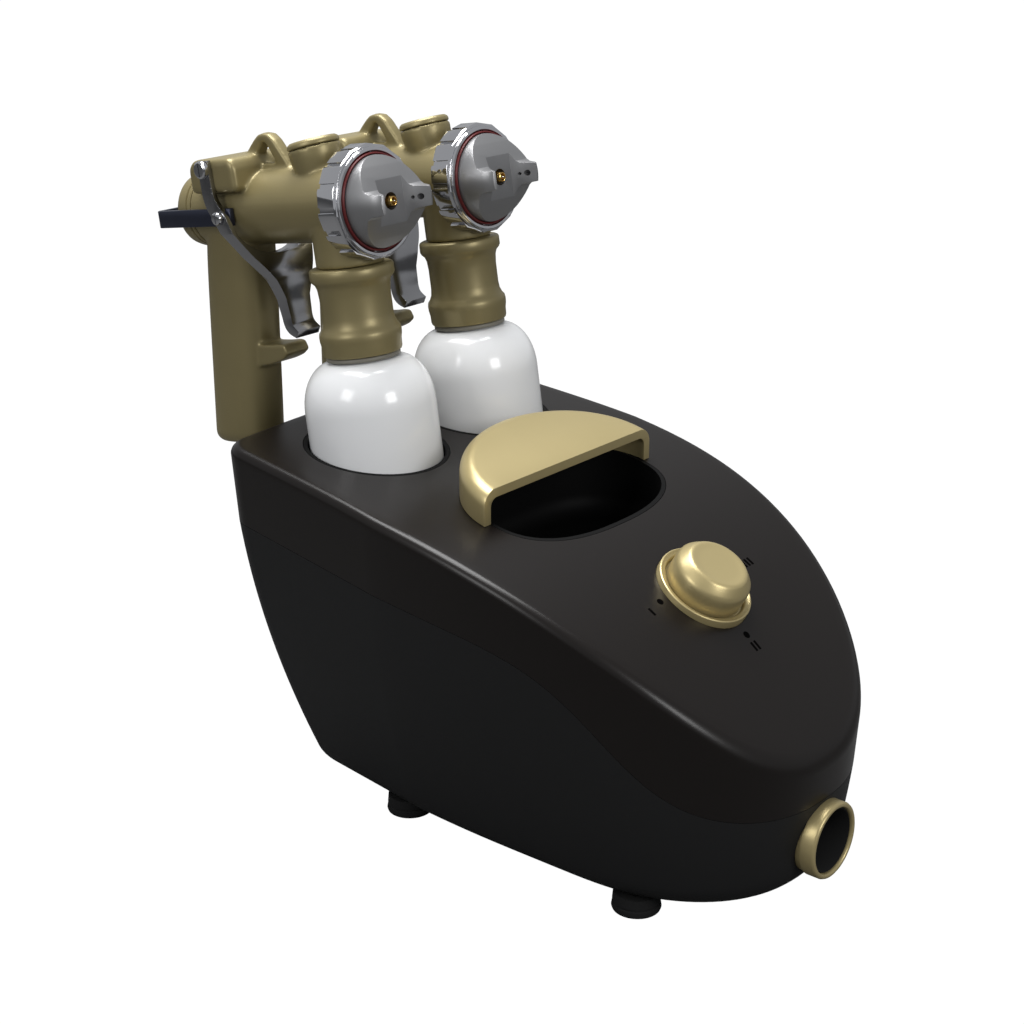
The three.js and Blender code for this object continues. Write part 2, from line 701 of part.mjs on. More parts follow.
function makeGunBody() {
  const lugHalf = barrelRadius + yokeWall + 0.9;
  const hook = shapeFrom([
    [25, 15], [31, 24], [40, 34], [44, 36.6], [49, 36.6], [55, 33], [62, 27], [72, 15],
  ]);
  hook.holes.push(new THREE.Path([
    new THREE.Vector2(43, 24.5), new THREE.Vector2(52.5, 24.5), new THREE.Vector2(47.5, 31.5),
  ]));
  const lug = shapeFrom([
    [50, 10], [50, lugTop - 4], [53, lugTop], [80, lugTop], [84, lugTop - 4], [84, 10],
  ]);
  const rest = stripShape([[72, -76], [60, -75], [52, -73.5], [48, -72]], [12, 10, 8, 5]);
  const grip = loft([
    gripRing(gripBackAt(gripBottom) + 1, gripBottom, handleGripDepth - 12, handleGripWidth - 9),
    gripRing(gripBackAt(gripBottom + 3), gripBottom + 3, handleGripDepth - 3, handleGripWidth - 2),
    gripRing(gripBackAt(gripBottom + 9), gripBottom + 9, handleGripDepth, handleGripWidth),
    gripRing(gripBackAt(-60), -60, handleGripDepth, handleGripWidth),
    gripRing(gripBackAt(-25), -25, handleGripDepth - 3, handleGripWidth + 2),
    gripRing(gripBackAt(-4), -4, handleGripDepth - 8, handleGripWidth + 4),
  ], ladderCap);
  const port = turned(rodProfile(portRadius, 0, portTop)).rotateX(-portLean).translate(0, portBack, 0);
  const portBore = turned(rodProfile(portPlug + gap, 22, 40)).rotateX(-portLean).translate(0, portBack, 0);
  const neck = turned(rodProfile(17, lidTop + gap, -5));
  const solid = join(rodY(barrelRadius, barrelFront, barrelRear, largeRound), neck, port, grip,
    plateAcross(hook, 7), plateAcross(lug, 2 * lugHalf), plateAcross(rest, 16));
  const yokeSpace = [-1, 1].map((side) => block(yokeWall + 1.6, 60, yokeTop - yokeBottom + 1.2,
    side * (barrelRadius + 0.4 + yokeWall / 2), barrelRear - 8, (yokeTop + yokeBottom) / 2));
  const ringSpace = turnedAlongY(
    ringProfile(ringRadius + 0.8, barrelRadius + 0.2, ringFront - 5, ringRear + gap + 0.2), largeRound);
  return toGeometry(cut(solid,
    rodY(7 + gap, barrelFront - 1, -2),
    rodY(needleRadius + 0.6, -4, chamberFront + 1, 8),
    rodY(chamberRadius, chamberFront, barrelRear + 1, mediumRound),
    rodY(3, barrelFront - 1, chamberFront + 10, 8, 0, 12),
    turned(rodProfile(3.4, lidTop - 2, -9), smallRound),
    turned(rodProfile(6.5, -7, 122), smallRound).rotateX(Math.PI - Math.atan(gripLean)).translate(0, 75.5, 0),
    ringSpace,
    rodY(barrelRadius + gap, barrelRear, barrelRear + 30, largeRound),
    rodX(pinRadius + gap, -40, 40, pivotBack, pivotUp),
    portBore, ...yokeSpace));
}

function makeTrigger() {
  const strip = stripShape([
    [pivotBack, pivotUp + 4], [68, 8], [linkBack, linkUp], [54, -18],
    [46, -34], [44.5, -50], [43, -60], [37.5, -64.5],
  ], [7, 8.5, 9, 9, 10, 8, 6, 4], 15);
  const inner = barrelRadius + yokeWall + 1;
  const outer = inner + triggerWall;
  const fork = [[outer, 40], [inner, 40], [inner, -9]];
  for (let i = 1; i < 6; i++) {
    const angle = (i / 6) * Math.PI;
    fork.push([inner * Math.cos(angle), -9 - 14 * Math.sin(angle)]);
  }
  fork.push([-inner, -9], [-inner, 40], [-outer, 40], [-outer, -10], [-13, -37], [-10, -48], [-9.5, -72],
    [9.5, -72], [10, -48], [13, -37], [outer, -10]);
  const sideView = toSolid(plateAcross(strip, 2 * outer + 2));
  const frontView = toSolid(plateAlong(shapeFrom(fork), 20, 90));
  const solid = sideView.intersect(frontView);
  return toGeometry(cut(solid,
    rodX(pinRadius + gap, -40, 40, pivotBack, pivotUp),
    rodX(linkRadius + gap, -40, 40, linkBack, linkUp)));
}

function makeYoke() {
  const inner = barrelRadius + 0.4;
  const outer = inner + yokeWall;
  const front = linkBack - 5;
  const middleUp = (yokeTop + yokeBottom) / 2;
  const tall = yokeTop - yokeBottom;
  const sheet = block(2 * outer, yokeRear - front, tall, 0, (yokeRear + front) / 2, middleUp);
  const space = block(2 * inner, yokeRear - front - yokeWall + 1, tall + 2, 0,
    (yokeRear - yokeWall + front - 1) / 2, middleUp);
  const slotHeight = 2 * linkRadius + 2.6;
  return toGeometry(cut(join(sheet), space,
    rodY(needleRadius + gap, yokeRear - 10, yokeRear + 5, 12),
    block(3 * outer, 2 * linkRadius + 0.8, slotHeight, 0, linkBack, linkUp)));
}

function makeAirCap() {
  const round = turnedAlongY([
    [0, -hornReach], [15, -hornReach], [19.5, -hornReach + 4], [capRadius - 0.6, -31], [capRadius, ringFront],
    [capRadius, barrelFront - 0.6], [0, barrelFront - 0.6],
  ], largeRound);
  const roof = shapeFrom([
    [barrelFront, -capRadius - 1], [ringFront - 0.5, -capRadius - 1], [-30, -17], [-36, -6],
    [-hornReach, -4.5], [-hornReach, 4.5],
    [-36, 6], [-30, 17], [ringFront - 0.5, capRadius + 1], [barrelFront, capRadius + 1],
  ]);
  const channel = shapeFrom([
    [-9, -channelFloor], [-16.5, -hornReach - 1], [16.5, -hornReach - 1], [9, -channelFloor],
  ]);
  const channelBody = new THREE.ExtrudeGeometry(channel, { depth: 60, bevelEnabled: false })
    .translate(0, 0, -30);
  const hollow = turnedAlongY([[0, -29], [10, -29], [16, -22], [16, -10], [0, -10]]);
  const solid = toSolid(round).intersect(toSolid(plateAcross(roof, 60)));
  return toGeometry(cut(solid, channelBody, hollow, rodY(4.2, -40, -20)));
}

function makeRetainingRing() {
  const lobes = 15;
  const notchDepth = 1.3;
  const shape = new THREE.Shape();
  const points = [];
  for (let i = 0; i < lobes; i++) {
    const notch = ringRadius - notchDepth;
    const spread = [[0.05, notch], [0.3, notch], [0.38, ringRadius], [0.97, ringRadius]];
    for (const [share, radius] of spread) {
      const angle = ((i + share) / lobes) * 2 * Math.PI;
      points.push(new THREE.Vector2(radius * Math.cos(angle), radius * Math.sin(angle)));
    }
  }
  shape.setFromPoints(points);
  const body = join(plateAlong(shape, ringFront, ringRear));
  return toGeometry(cut(body,
    rodY(barrelRadius + 0.5, ringFront - 1, ringRear + 1, largeRound),
    rodY(capRadius + 2.2, ringFront - 1, barrelFront - 0.4, largeRound)));
}

class Helix extends THREE.Curve {
  constructor(radius, from, to, turns) {
    super();
    Object.assign(this, { radius, from, to, turns });
  }
  getPoint(t, target = new THREE.Vector3()) {
    const angle = 2 * Math.PI * this.turns * t;
    const along = between(this.from, this.to, t);
    return target.set(this.radius * Math.cos(angle), along, this.radius * Math.sin(angle));
  }
}

function makeSpring(from, to) {
  const turns = 4;
  const wire = new THREE.Shape().absarc(0, 0, 0.5, 0, 2 * Math.PI);
  return new THREE.ExtrudeGeometry(wire, {
    steps: turns * 9, curveSegments: 2, bevelEnabled: false,
    extrudePath: new Helix(5.5, from, to, turns),
  });
}

function screwProfile(shankRadius, headRadius, length, headHeight) {
  const top = length + headHeight;
  return [[0, 0], [shankRadius, 0], [shankRadius, length], [headRadius, length],
    [headRadius, top - 0.8], [headRadius - 0.8, top], [0, top]];
}

function buildGun(side, word) {
  const group = new THREE.Group();
  gunFrame(side).decompose(group.position, group.quaternion, group.scale);
  part.add(group);
  const add = (name, geometry, finish) => addPiece(group, `${word}_${name}`, geometry, finish);

  add('gun_body', makeGunBody(), goldPaint());
  add('port_cap', turned([
    [0, 23], [portPlug, 23], [portPlug, portTop + gap], [portRadius, portTop + gap],
    [portRadius, portTop + 2.5], [portRadius - 1.5, portTop + 4], [0, portTop + 4],
  ]).rotateX(-portLean).translate(0, portBack, 0), goldPaint());

  const capRear = barrelRear + rearCapLength;
  const spigotFront = barrelRear - 12;
  add('rear_cap', turnedAlongY([
    [needleRadius + 0.5, spigotFront], [chamberRadius - gap, spigotFront],
    [chamberRadius - gap, barrelRear + gap], [barrelRadius, barrelRear + gap], [barrelRadius, capRear - 5],
    [barrelRadius - 2, capRear - 1.6], [barrelRadius - 6, capRear], [needleRadius + 0.5, capRear],
    [needleRadius + 0.5, spigotFront],
  ], largeRound), goldPaint());

  add('retaining_ring', makeRetainingRing(), chrome());
  const seal = ringProfile(capRadius + 1.7, capRadius + gap, ringFront - 0.8, barrelFront - 0.8);
  add('cap_seal', turnedAlongY(seal, largeRound), redRubber());
  add('air_cap', makeAirCap(), satinSteel());
  const nozzleBore = needleRadius + 0.4;
  add('fluid_nozzle', turnedAlongY([
    [nozzleBore, -nozzleReach], [2.2, -nozzleReach], [3.4, -29.4], [6.5, -26], [6.8, -25],
    [6.8, -2.4], [nozzleBore, -2.4], [nozzleBore, -nozzleReach],
  ], smallRound), brass());

  const collarBack = spigotFront - 17;
  const collarFront = collarBack - 3;
  const stopBack = yokeRear - yokeWall - gap;
  const stopFront = stopBack - 2.5;
  const nutFront = yokeRear + gap;
  const nutBack = yokeRear + 2.5;
  add('needle', turnedAlongY([
    [0, -nozzleReach - 0.8], [needleRadius, -nozzleReach + 2], [needleRadius, collarFront],
    [7, collarFront], [7, collarBack], [needleRadius, collarBack], [needleRadius, stopFront],
    [3, stopFront], [3, stopBack], [needleRadius, stopBack],
    [needleRadius, nutFront], [3.2, nutFront], [3.2, nutBack], [0, nutBack],
  ], smallRound), satinSteel());
  add('needle_spring', makeSpring(collarBack + 0.9, spigotFront - 0.9), satinSteel());

  add('trigger', makeTrigger(), chrome());
  add('yoke', makeYoke(), darkSteel());
  const outer = barrelRadius + yokeWall + 1 + triggerWall + gap;
  const headRadius = 4.5;
  const headEnd = outer + 2.6;
  const pivotPin = turned([
    [0, -headEnd], [headRadius, -headEnd], [headRadius, -outer], [pinRadius, -outer],
    [pinRadius, outer], [headRadius, outer], [headRadius, headEnd], [0, headEnd],
  ], smallRound);
  add('trigger_pin', pivotPin.rotateY(Math.PI / 2).translate(0, pivotBack, pivotUp), chrome());
  const linkStart = barrelRadius + 0.6;
  const linkProfile = screwProfile(linkRadius, 3.4, outer - linkStart, 2.2);
  for (const [place, turn] of [['outer', side], ['inner', -side]]) {
    const screw = turned(linkProfile, 10).translate(0, 0, linkStart).rotateY(turn * Math.PI / 2);
    add(`link_screw_${place}`, screw.translate(0, linkBack, linkUp), chrome());
  }

  add('cup_lid', turned([
    [3.4, lidTop - 6], [3.4, lidTop], [lidRadius + 1, lidTop], [lidRadius + 2, lidTop - 1.2],
    [lidRadius + 2, lidTop - 5.5], [lidRadius + 0.4, lidTop - 8], [lidRadius, lidTop - 28],
    [lidRadius + 1.4, lidTop - 33], [lidRadius + 1.4, lidTop - 38], [lidRadius, lidBottom],
    [cupNeckRadius + gap, lidBottom], [cupNeckRadius + gap, lidTop - 6], [3.4, lidTop - 6],
  ].reverse(), cupRound), goldPaint());
  const gasket = ringProfile(lidRadius - 0.4, cupNeckRadius + gap, lidBottom - 2.4, lidBottom - gap);
  add('lid_gasket', turned(gasket, cupRound), greyRubber());
  const shoulder = lidBottom - 3;
  const neckTop = lidTop - 8;
  const outside = [[cupNeckRadius, neckTop], [cupNeckRadius, shoulder]];
  const shoulderSteps = 3;
  for (let i = 1; i <= shoulderSteps; i++) {
    const angle = (i / shoulderSteps) * Math.PI / 2;
    outside.push([cupNeckRadius + 1 + (cupRadius - cupNeckRadius - 1) * Math.sin(angle),
      shoulder - 24 * (1 - Math.cos(angle))]);
  }
  outside.push([cupRadius, cupBottom + 6], [cupRadius - 2, cupBottom + 1.5],
    [cupRadius - 6, cupBottom], [0, cupBottom]);
  const inside = [[0, cupBottom + cupWall], [cupRadius - 6, cupBottom + cupWall],
    [cupRadius - cupWall, cupBottom + 7], [cupRadius - cupWall, shoulder - 24]];
  for (let i = shoulderSteps - 1; i >= 1; i--) {
    const angle = (i / shoulderSteps) * Math.PI / 2;
    inside.push([cupNeckRadius + 1 - cupWall + (cupRadius - cupNeckRadius - 1) * Math.sin(angle),
      shoulder - 24 * (1 - Math.cos(angle)) - 0.5 * cupWall]);
  }
  inside.push([cupNeckRadius - cupWall, shoulder - 1], [cupNeckRadius - cupWall, neckTop],
    [cupNeckRadius, neckTop]);
  add('cup', turned([...outside, ...inside].reverse(), cupRound), whiteGloss());
  add('pickup_tube', turned(ringProfile(3, 2, cupBottom + 6, -10), 8), whiteGloss());
}

buildCasing();
buildKnob();
buildTurbine();
buildRearFittings();
buildGun(-1, 'left');
buildGun(1, 'right');

// the origin is under the middle of the whole object's box, on the surface that the feet stand on
part.updateMatrixWorld(true);
const box = new THREE.Box3().setFromObject(part);
part.position.set(0, -(box.min.y + box.max.y) / 2, 0);

export default part;
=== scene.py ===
# A turbine compressor for two cup-fed spray guns: a wedge-shaped casing with a carry handle and a
# switch knob, and two guns that stand with their cups in wells in the deck. Metres, nose towards -Y.
import json
import math

import bpy
from mathutils import Matrix, Vector


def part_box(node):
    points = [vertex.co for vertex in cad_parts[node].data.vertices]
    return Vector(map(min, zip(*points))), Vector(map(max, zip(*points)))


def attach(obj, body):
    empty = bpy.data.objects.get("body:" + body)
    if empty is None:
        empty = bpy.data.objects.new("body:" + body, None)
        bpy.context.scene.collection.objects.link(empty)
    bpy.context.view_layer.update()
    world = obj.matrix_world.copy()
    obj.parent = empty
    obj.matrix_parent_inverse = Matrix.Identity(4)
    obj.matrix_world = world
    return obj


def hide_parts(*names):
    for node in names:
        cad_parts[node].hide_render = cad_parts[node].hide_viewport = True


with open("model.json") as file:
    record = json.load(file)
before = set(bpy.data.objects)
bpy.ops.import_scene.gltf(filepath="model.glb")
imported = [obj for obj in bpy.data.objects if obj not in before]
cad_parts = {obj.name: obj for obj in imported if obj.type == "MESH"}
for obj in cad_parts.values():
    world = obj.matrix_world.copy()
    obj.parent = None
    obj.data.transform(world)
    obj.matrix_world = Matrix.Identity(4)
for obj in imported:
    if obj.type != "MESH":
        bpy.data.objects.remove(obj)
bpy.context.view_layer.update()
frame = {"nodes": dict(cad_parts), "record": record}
mm = 0.001

# ---- Stand ----
# A pale paper floor lit by three softboxes, seen from the unit's front left corner and from above.
# Floor and world are bright to the camera alone: the light that reaches the unit from them is dim.


def deselect():
    bpy.ops.object.select_all(action="DESELECT")


def surface(name, colour, roughness, metallic=0.0, mottle=0.06, patch=30, spread=0.05,
            grain=2500, relief=0.02, stretch=(1, 1, 1), specular=0.5):
    """A finish whose colour drifts in soft patches and whose grain lies in its gloss and its relief."""
    material = bpy.data.materials.new(name)
    material.use_nodes = True
    nodes = material.node_tree.nodes
    links = material.node_tree.links
    shader = nodes["Principled BSDF"]
    shader.inputs["Metallic"].default_value = metallic
    shader.inputs["Specular IOR Level"].default_value = specular
    place = nodes.new("ShaderNodeTexCoord")
    mapping = nodes.new("ShaderNodeMapping")
    mapping.inputs["Scale"].default_value = stretch
    links.new(place.outputs["Object"], mapping.inputs["Vector"])
    patches = nodes.new("ShaderNodeTexNoise")
    patches.inputs["Scale"].default_value = patch
    patches.inputs["Detail"].default_value = 3
    links.new(place.outputs["Object"], patches.inputs["Vector"])
    tint = nodes.new("ShaderNodeMix")
    tint.data_type = "RGBA"
    tint.inputs["A"].default_value = (*[channel * (1 - mottle) for channel in colour], 1)
    tint.inputs["B"].default_value = (*[min(1, channel * (1 + mottle)) for channel in colour], 1)
    links.new(patches.outputs["Fac"], tint.inputs["Factor"])
    links.new(tint.outputs["Result"], shader.inputs["Base Color"])
    fine = nodes.new("ShaderNodeTexNoise")
    fine.inputs["Scale"].default_value = grain
    fine.inputs["Detail"].default_value = 2
    links.new(mapping.outputs["Vector"], fine.inputs["Vector"])
    gloss = nodes.new("ShaderNodeMapRange")
    gloss.inputs["To Min"].default_value = max(0.02, roughness - spread)
    gloss.inputs["To Max"].default_value = roughness + spread
    links.new(fine.outputs["Fac"], gloss.inputs["Value"])
    links.new(gloss.outputs["Result"], shader.inputs["Roughness"])
    bump = nodes.new("ShaderNodeBump")
    bump.inputs["Strength"].default_value = 0.5
    bump.inputs["Distance"].default_value = relief * mm
    links.new(fine.outputs["Fac"], bump.inputs["Height"])
    links.new(bump.outputs["Normal"], shader.inputs["Normal"])
    return material


floor_size = 60
backdrop_glow = 1.13
glow_share = 0.9
world_light = 0.45
camera_place = (-0.6874, -0.57477, 0.4909)
camera_dip = 20.6
camera_turn = -50
focal_length = 66.4
film_width = 36
unit_middle = Vector((0, 0, 0.15))

deselect()
bpy.ops.mesh.primitive_plane_add(size=floor_size)
floor = bpy.context.object
floor.name = "studio_floor"
paper = surface("studio_paper", (0.1, 0.1, 0.1), 0.9, mottle=0.01, patch=2)
paper_nodes = paper.node_tree.nodes
paper_links = paper.node_tree.links
glow = paper_nodes.new("ShaderNodeEmission")
seen = paper_nodes.new("ShaderNodeLightPath")
partly = paper_nodes.new("ShaderNodeMath")
partly.operation = "MULTIPLY"
partly.inputs[1].default_value = glow_share
blend = paper_nodes.new("ShaderNodeMixShader")
paper_links.new(seen.outputs["Is Camera Ray"], partly.inputs[0])
paper_links.new(partly.outputs["Value"], blend.inputs["Fac"])
paper_links.new(paper_nodes["Principled BSDF"].outputs["BSDF"], blend.inputs[1])
paper_links.new(glow.outputs["Emission"], blend.inputs[2])
glow.inputs["Strength"].default_value = backdrop_glow
paper_links.new(blend.outputs["Shader"], paper_nodes["Material Output"].inputs["Surface"])
floor.data.materials.append(paper)

bpy.ops.object.camera_add(
    location=camera_place,
    rotation=(math.radians(90 - camera_dip), 0, math.radians(camera_turn)))
camera = bpy.context.object
camera.name = "front_left_camera"
camera.data.lens = focal_length
camera.data.sensor_width = film_width
bpy.context.scene.camera = camera

for light_name, place, power, size in [
    ("overhead_softbox", (0.1, 0.35, 1.5), 34, 0.9),
    ("left_softbox", (-1.3, 0.1, 0.9), 5.5, 0.5),
    ("front_softbox", (-0.2, -1.5, 0.9), 9, 0.5),
]:
    bpy.ops.object.light_add(type="AREA", location=place)
    light = bpy.context.object
    light.name = light_name
    light.data.energy = power
    light.data.size = size
    aim = unit_middle - Vector(place)
    light.rotation_euler = aim.to_track_quat("-Z", "Y").to_euler()

world = bpy.data.worlds.new("studio")
world.use_nodes = True
world.node_tree.nodes["Background"].inputs["Color"].default_value = (0.95, 0.97, 1, 1)
world_seen = world.node_tree.nodes.new("ShaderNodeLightPath")
world_strength = world.node_tree.nodes.new("ShaderNodeMapRange")
world_strength.inputs["To Min"].default_value = world_light
world_strength.inputs["To Max"].default_value = backdrop_glow
world.node_tree.links.new(world_seen.outputs["Is Camera Ray"], world_strength.inputs["Value"])
world.node_tree.links.new(world_strength.outputs["Result"],
                          world.node_tree.nodes["Background"].inputs["Strength"])
bpy.context.scene.world = world
bpy.context.scene.view_settings.view_transform = "Standard"

# ---- Casing top ----
# The upper half of the casing: one glossy brown-black moulding, a deck that falls away to the nose
# with a softly rounded edge, and a narrow side wall that closes on the joint with the lower half.

gap = 0.3 * mm
shell_wall = 2.6 * mm
deck_edge_radius = 5 * mm
upper_draft = 0.055
lower_draft = 0.098
lower_tuck = 0.9
nose_power = 2.4
widest_from_rear = 116 * mm
rear_narrowing = 7.5 * mm
rear_corner_radius = 15 * mm
rear_crown = 4 * mm
deck_slope_drop = 27.5 * mm
deck_nose_drop = 85 * mm
seam_nose_height = 55.5 * mm
seam_rear_rise = 97 * mm
seam_rear_fall = 30 * mm
seam_step_place = 0.8
seam_step_length = 0.06

upper_low, upper_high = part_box("upper_shell")
rim_inset = upper_draft * deck_edge_radius
half_width = upper_high[0] + rim_inset
rear_y = upper_high[1] + rim_inset
nose_y = upper_low[1] - rim_inset
body_length = rear_y - nose_y
widest_y = rear_y - widest_from_rear
deck_rear_height = upper_high[2] + deck_slope_drop * deck_edge_radius / body_length

gloss_black = surface("gloss_black", (0.006, 0.0045, 0.0038), 0.3, mottle=0.06, patch=9, spread=0.03,
                      grain=1800, relief=0.003, specular=0.26)


def deck_height(y):
    share = max(0.0, (rear_y - y) / body_length)
    return deck_rear_height - deck_slope_drop * share - deck_nose_drop * share ** 4


def seam_height(y):
    """The joint of the two halves: low round the nose, then a soft step up to the rear."""
    share = (rear_y - y) / body_length
    step = 1 / (1 + math.exp((share - seam_step_place) / seam_step_length))
    return seam_nose_height + (seam_rear_rise - seam_rear_fall * share) * step


def plan_outline():
    """The casing seen from above, from the nose tip round the right side and back up the left."""
    rear_half_width = half_width - rear_narrowing
    corner_y = rear_y - rear_corner_radius - rear_crown
    half = []
    for step in range(41):
        angle = step / 40 * math.pi / 2
        half.append((half_width * math.sin(angle) ** (2 / nose_power),
                     widest_y - (widest_y - nose_y) * math.cos(angle) ** (2 / nose_power)))
    for step in range(1, 17):
        half.append((half_width - rear_narrowing * step / 16,
                     widest_y + (corner_y - widest_y) * step / 16))
    for step in range(1, 11):
        angle = step / 10 * math.pi / 2
        half.append((rear_half_width - rear_corner_radius * (1 - math.cos(angle)),
                     corner_y + rear_corner_radius * math.sin(angle)))
    for step in range(15, -1, -1):
        share = step / 16
        half.append(((rear_half_width - rear_corner_radius) * share, rear_y - rear_crown * share ** 2))
    return half + [(-x, y) for x, y in half[-2:0:-1]]


outline = plan_outline()


def moved_in(x, y, distance):
    """A point of the outline moved in towards the spine of the casing."""
    share = distance / half_width
    if y < widest_y:
        spine_y = widest_y - (widest_y - nose_y - half_width) * (widest_y - y) / (widest_y - nose_y)
    else:
        spine_y = widest_y + (widest_from_rear - half_width) * (y - widest_y) / widest_from_rear
    return x * (1 - share), y + (spine_y - y) * share


def wall_inset(y, z):
    """How far the wall has moved in from the outline: by its draft, and by a tuck below the joint."""
    seam = seam_height(y)
    below = max(0.0, seam - z)
    return (deck_height(y) - max(z, seam)) * upper_draft + below * lower_draft + below ** 2 * lower_tuck


def wall_ring(height_of, inward=0.0):
    ring = []
    for x, y in outline:
        z = height_of(y)
        ring.append((*moved_in(x, y, wall_inset(y, z) + inward), z))
    return ring


def deck_ring(inward, drop=0.0):
    moved = [moved_in(x, y, inward) for x, y in outline]
    return [(x, y, deck_height(y) - drop) for x, y in moved]


def mended(piece):
    """Merges doubled points and turns every face outwards."""
    bpy.context.view_layer.objects.active = piece
    bpy.ops.object.mode_set(mode="EDIT")
    bpy.ops.mesh.select_all(action="SELECT")
    bpy.ops.mesh.remove_doubles(threshold=0.002 * mm)
    bpy.ops.mesh.normals_make_consistent(inside=False)
    bpy.ops.object.mode_set(mode="OBJECT")
    return piece


def skinned(rings, filled=False):
    """A grid wrapped round, with each of its rows laid on a ring of points."""
    deselect()
    bpy.ops.mesh.primitive_grid_add(x_subdivisions=len(rings[0]), y_subdivisions=len(rings) - 1)
    skin = bpy.context.object
    places = [point for ring in rings for point in (*ring, ring[0])]
    for vert, place in zip(skin.data.vertices, places):
        vert.co = place
    mended(skin)
    if filled:
        bpy.ops.object.mode_set(mode="EDIT")
        bpy.ops.mesh.select_all(action="SELECT")
        bpy.ops.mesh.fill_holes(sides=0)
        bpy.ops.mesh.select_all(action="SELECT")
        bpy.ops.mesh.normals_make_consistent(inside=False)
        bpy.ops.object.mode_set(mode="OBJECT")
    return skin


def shaped(piece, kind, **settings):
    """Adds a modifier with its settings and applies it."""
    deselect()
    piece.select_set(True)
    bpy.context.view_layer.objects.active = piece
    modifier = piece.modifiers.new(kind.lower(), kind)
    for setting, value in settings.items():
        setattr(modifier, setting, value)
    bpy.ops.object.modifier_apply(modifier=modifier.name)
    return piece


def cut(piece, *cutters, operation="DIFFERENCE"):
    for cutter in cutters:
        shaped(piece, "BOOLEAN", object=cutter, operation=operation, solver="EXACT")
        bpy.data.objects.remove(cutter)
    return piece


def rounded(piece, width, segments=3, angle=35):
    return shaped(piece, "BEVEL", width=width * mm, segments=segments, limit_method="ANGLE",
                  angle_limit=math.radians(angle))


def turned(profile, steps=96, bored=False):
    """Turned about Z from [radius, height] pairs in mm: solid from its first disc to its last, or
    bored, when the outline comes back to where it started."""
    deselect()
    radius, height = profile[0]
    bpy.ops.mesh.primitive_circle_add(vertices=steps, radius=radius * mm,
                                      fill_type="NOTHING" if bored else "NGON")
    piece = bpy.context.object
    piece.data.transform(Matrix.Translation((0, 0, height * mm)))
    bpy.ops.object.mode_set(mode="EDIT")
    for next_radius, next_height in profile[1:] + (profile[:1] if bored else []):
        rise = (next_height - height) * mm
        grow = next_radius / radius
        bpy.ops.mesh.extrude_region_move(TRANSFORM_OT_translate={"value": (0, 0, rise)})
        bpy.ops.transform.resize(value=(grow, grow, 1), center_override=(0, 0, 0))
        radius, height = next_radius, next_height
    bpy.ops.object.mode_set(mode="OBJECT")
    return mended(piece)


def fitted(piece, name, finish, body, slot, *nodes, angle=30):
    """Names a finished piece, paints it, hands it to its body and hides the nodes it stands for."""
    deselect()
    piece.select_set(True)
    bpy.context.view_layer.objects.active = piece
    bpy.ops.object.shade_smooth_by_angle(angle=math.radians(angle))
    piece.name = name
    piece.data.name = name
    piece.data.materials.clear()
    piece.data.materials.append(finish)
    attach(piece, body)
    if nodes:
        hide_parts(*nodes)
    return piece


def above_deck(lift=0.0):
    """Everything over the deck, for trimming the pieces that end flush with it."""
    steps = 60
    rear = rear_y + 40 * mm
    front = nose_y - 10 * mm
    places = [front + (rear - front) * step / steps for step in range(steps + 1)]
    profile = [(y, deck_height(y) + lift) for y in places]
    profile += [(rear, deck_rear_height + 80 * mm), (front, deck_rear_height + 80 * mm)]
    reach = 1.5 * half_width
    return skinned([[(x, y, z) for y, z in profile] for x in (-reach, reach)], filled=True)


# places of the handle, its recess and the knob, which stand in openings in the deck
handle_low, handle_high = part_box("carry_handle")
handle_front_y = handle_low[1]
handle_half_width = handle_high[0]
handle_depth = handle_high[1] - handle_low[1]
handle_wall = 4.5 * mm
recess_floor = 143 * mm
recess_wall = 2 * mm
recess_forward = 30 * mm
joints = {joint["name"]: joint for joint in frame["record"]["behaviour"]["joints"]}
knob_y = joints["knob_turn"]["pos_m"][1]
knob_slope = (deck_height(knob_y + mm) - deck_height(knob_y - mm)) / (2 * mm)
knob_frame = Matrix.Translation((0, knob_y, deck_height(knob_y))) @ Matrix.Rotation(
    math.atan(knob_slope), 4, "X")

# each gun's frame: the origin where barrel and cup axes meet, +Y back along the barrel
gun_tilt = math.radians(9)
seal_forward = 21.6 * mm
gun_frame = {}
for side in ("left", "right"):
    low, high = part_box(f"{side}_cap_seal")
    tilt = Matrix.Rotation(-gun_tilt, 4, "X")
    to_cup_axis = Matrix.Translation((0, seal_forward, 0))
    gun_frame[side] = Matrix.Translation((low + high) / 2) @ tilt @ to_cup_axis


def squared_off(wave):
    """A sine or cosine pushed outwards, which squares an oval off a little."""
    return math.copysign(abs(wave) ** 0.8, wave)


def recess_ring(grow, height):
    """An oval laid across the hood's front edge, with its own reach forwards and backwards."""
    across = handle_half_width - handle_wall - gap - recess_wall + grow
    ring = []
    for step in range(96):
        angle = step / 96 * 2 * math.pi
        if math.sin(angle) < 0:
            reach = recess_forward + grow
        else:
            reach = handle_depth - handle_wall - recess_wall + grow
        ring.append((squared_off(math.cos(angle)) * across,
                     handle_front_y + squared_off(math.sin(angle)) * reach,
                     height))
    return ring


def rim_height(y):
    return deck_height(y) - deck_edge_radius


upper_rings = []
for step in range(15):
    share = step / 14
    upper_rings.append(wall_ring(
        lambda y: (seam_height(y) + gap / 2) * (1 - share) + rim_height(y) * share))
for step in range(1, 8):
    turn = step / 8 * math.pi / 2
    upper_rings.append(deck_ring(rim_inset + (deck_edge_radius - rim_inset) * (1 - math.cos(turn)),
                                 deck_edge_radius * (1 - math.sin(turn))))
for step in range(25):
    upper_rings.append(deck_ring(deck_edge_radius + (half_width - deck_edge_radius) * step / 24))

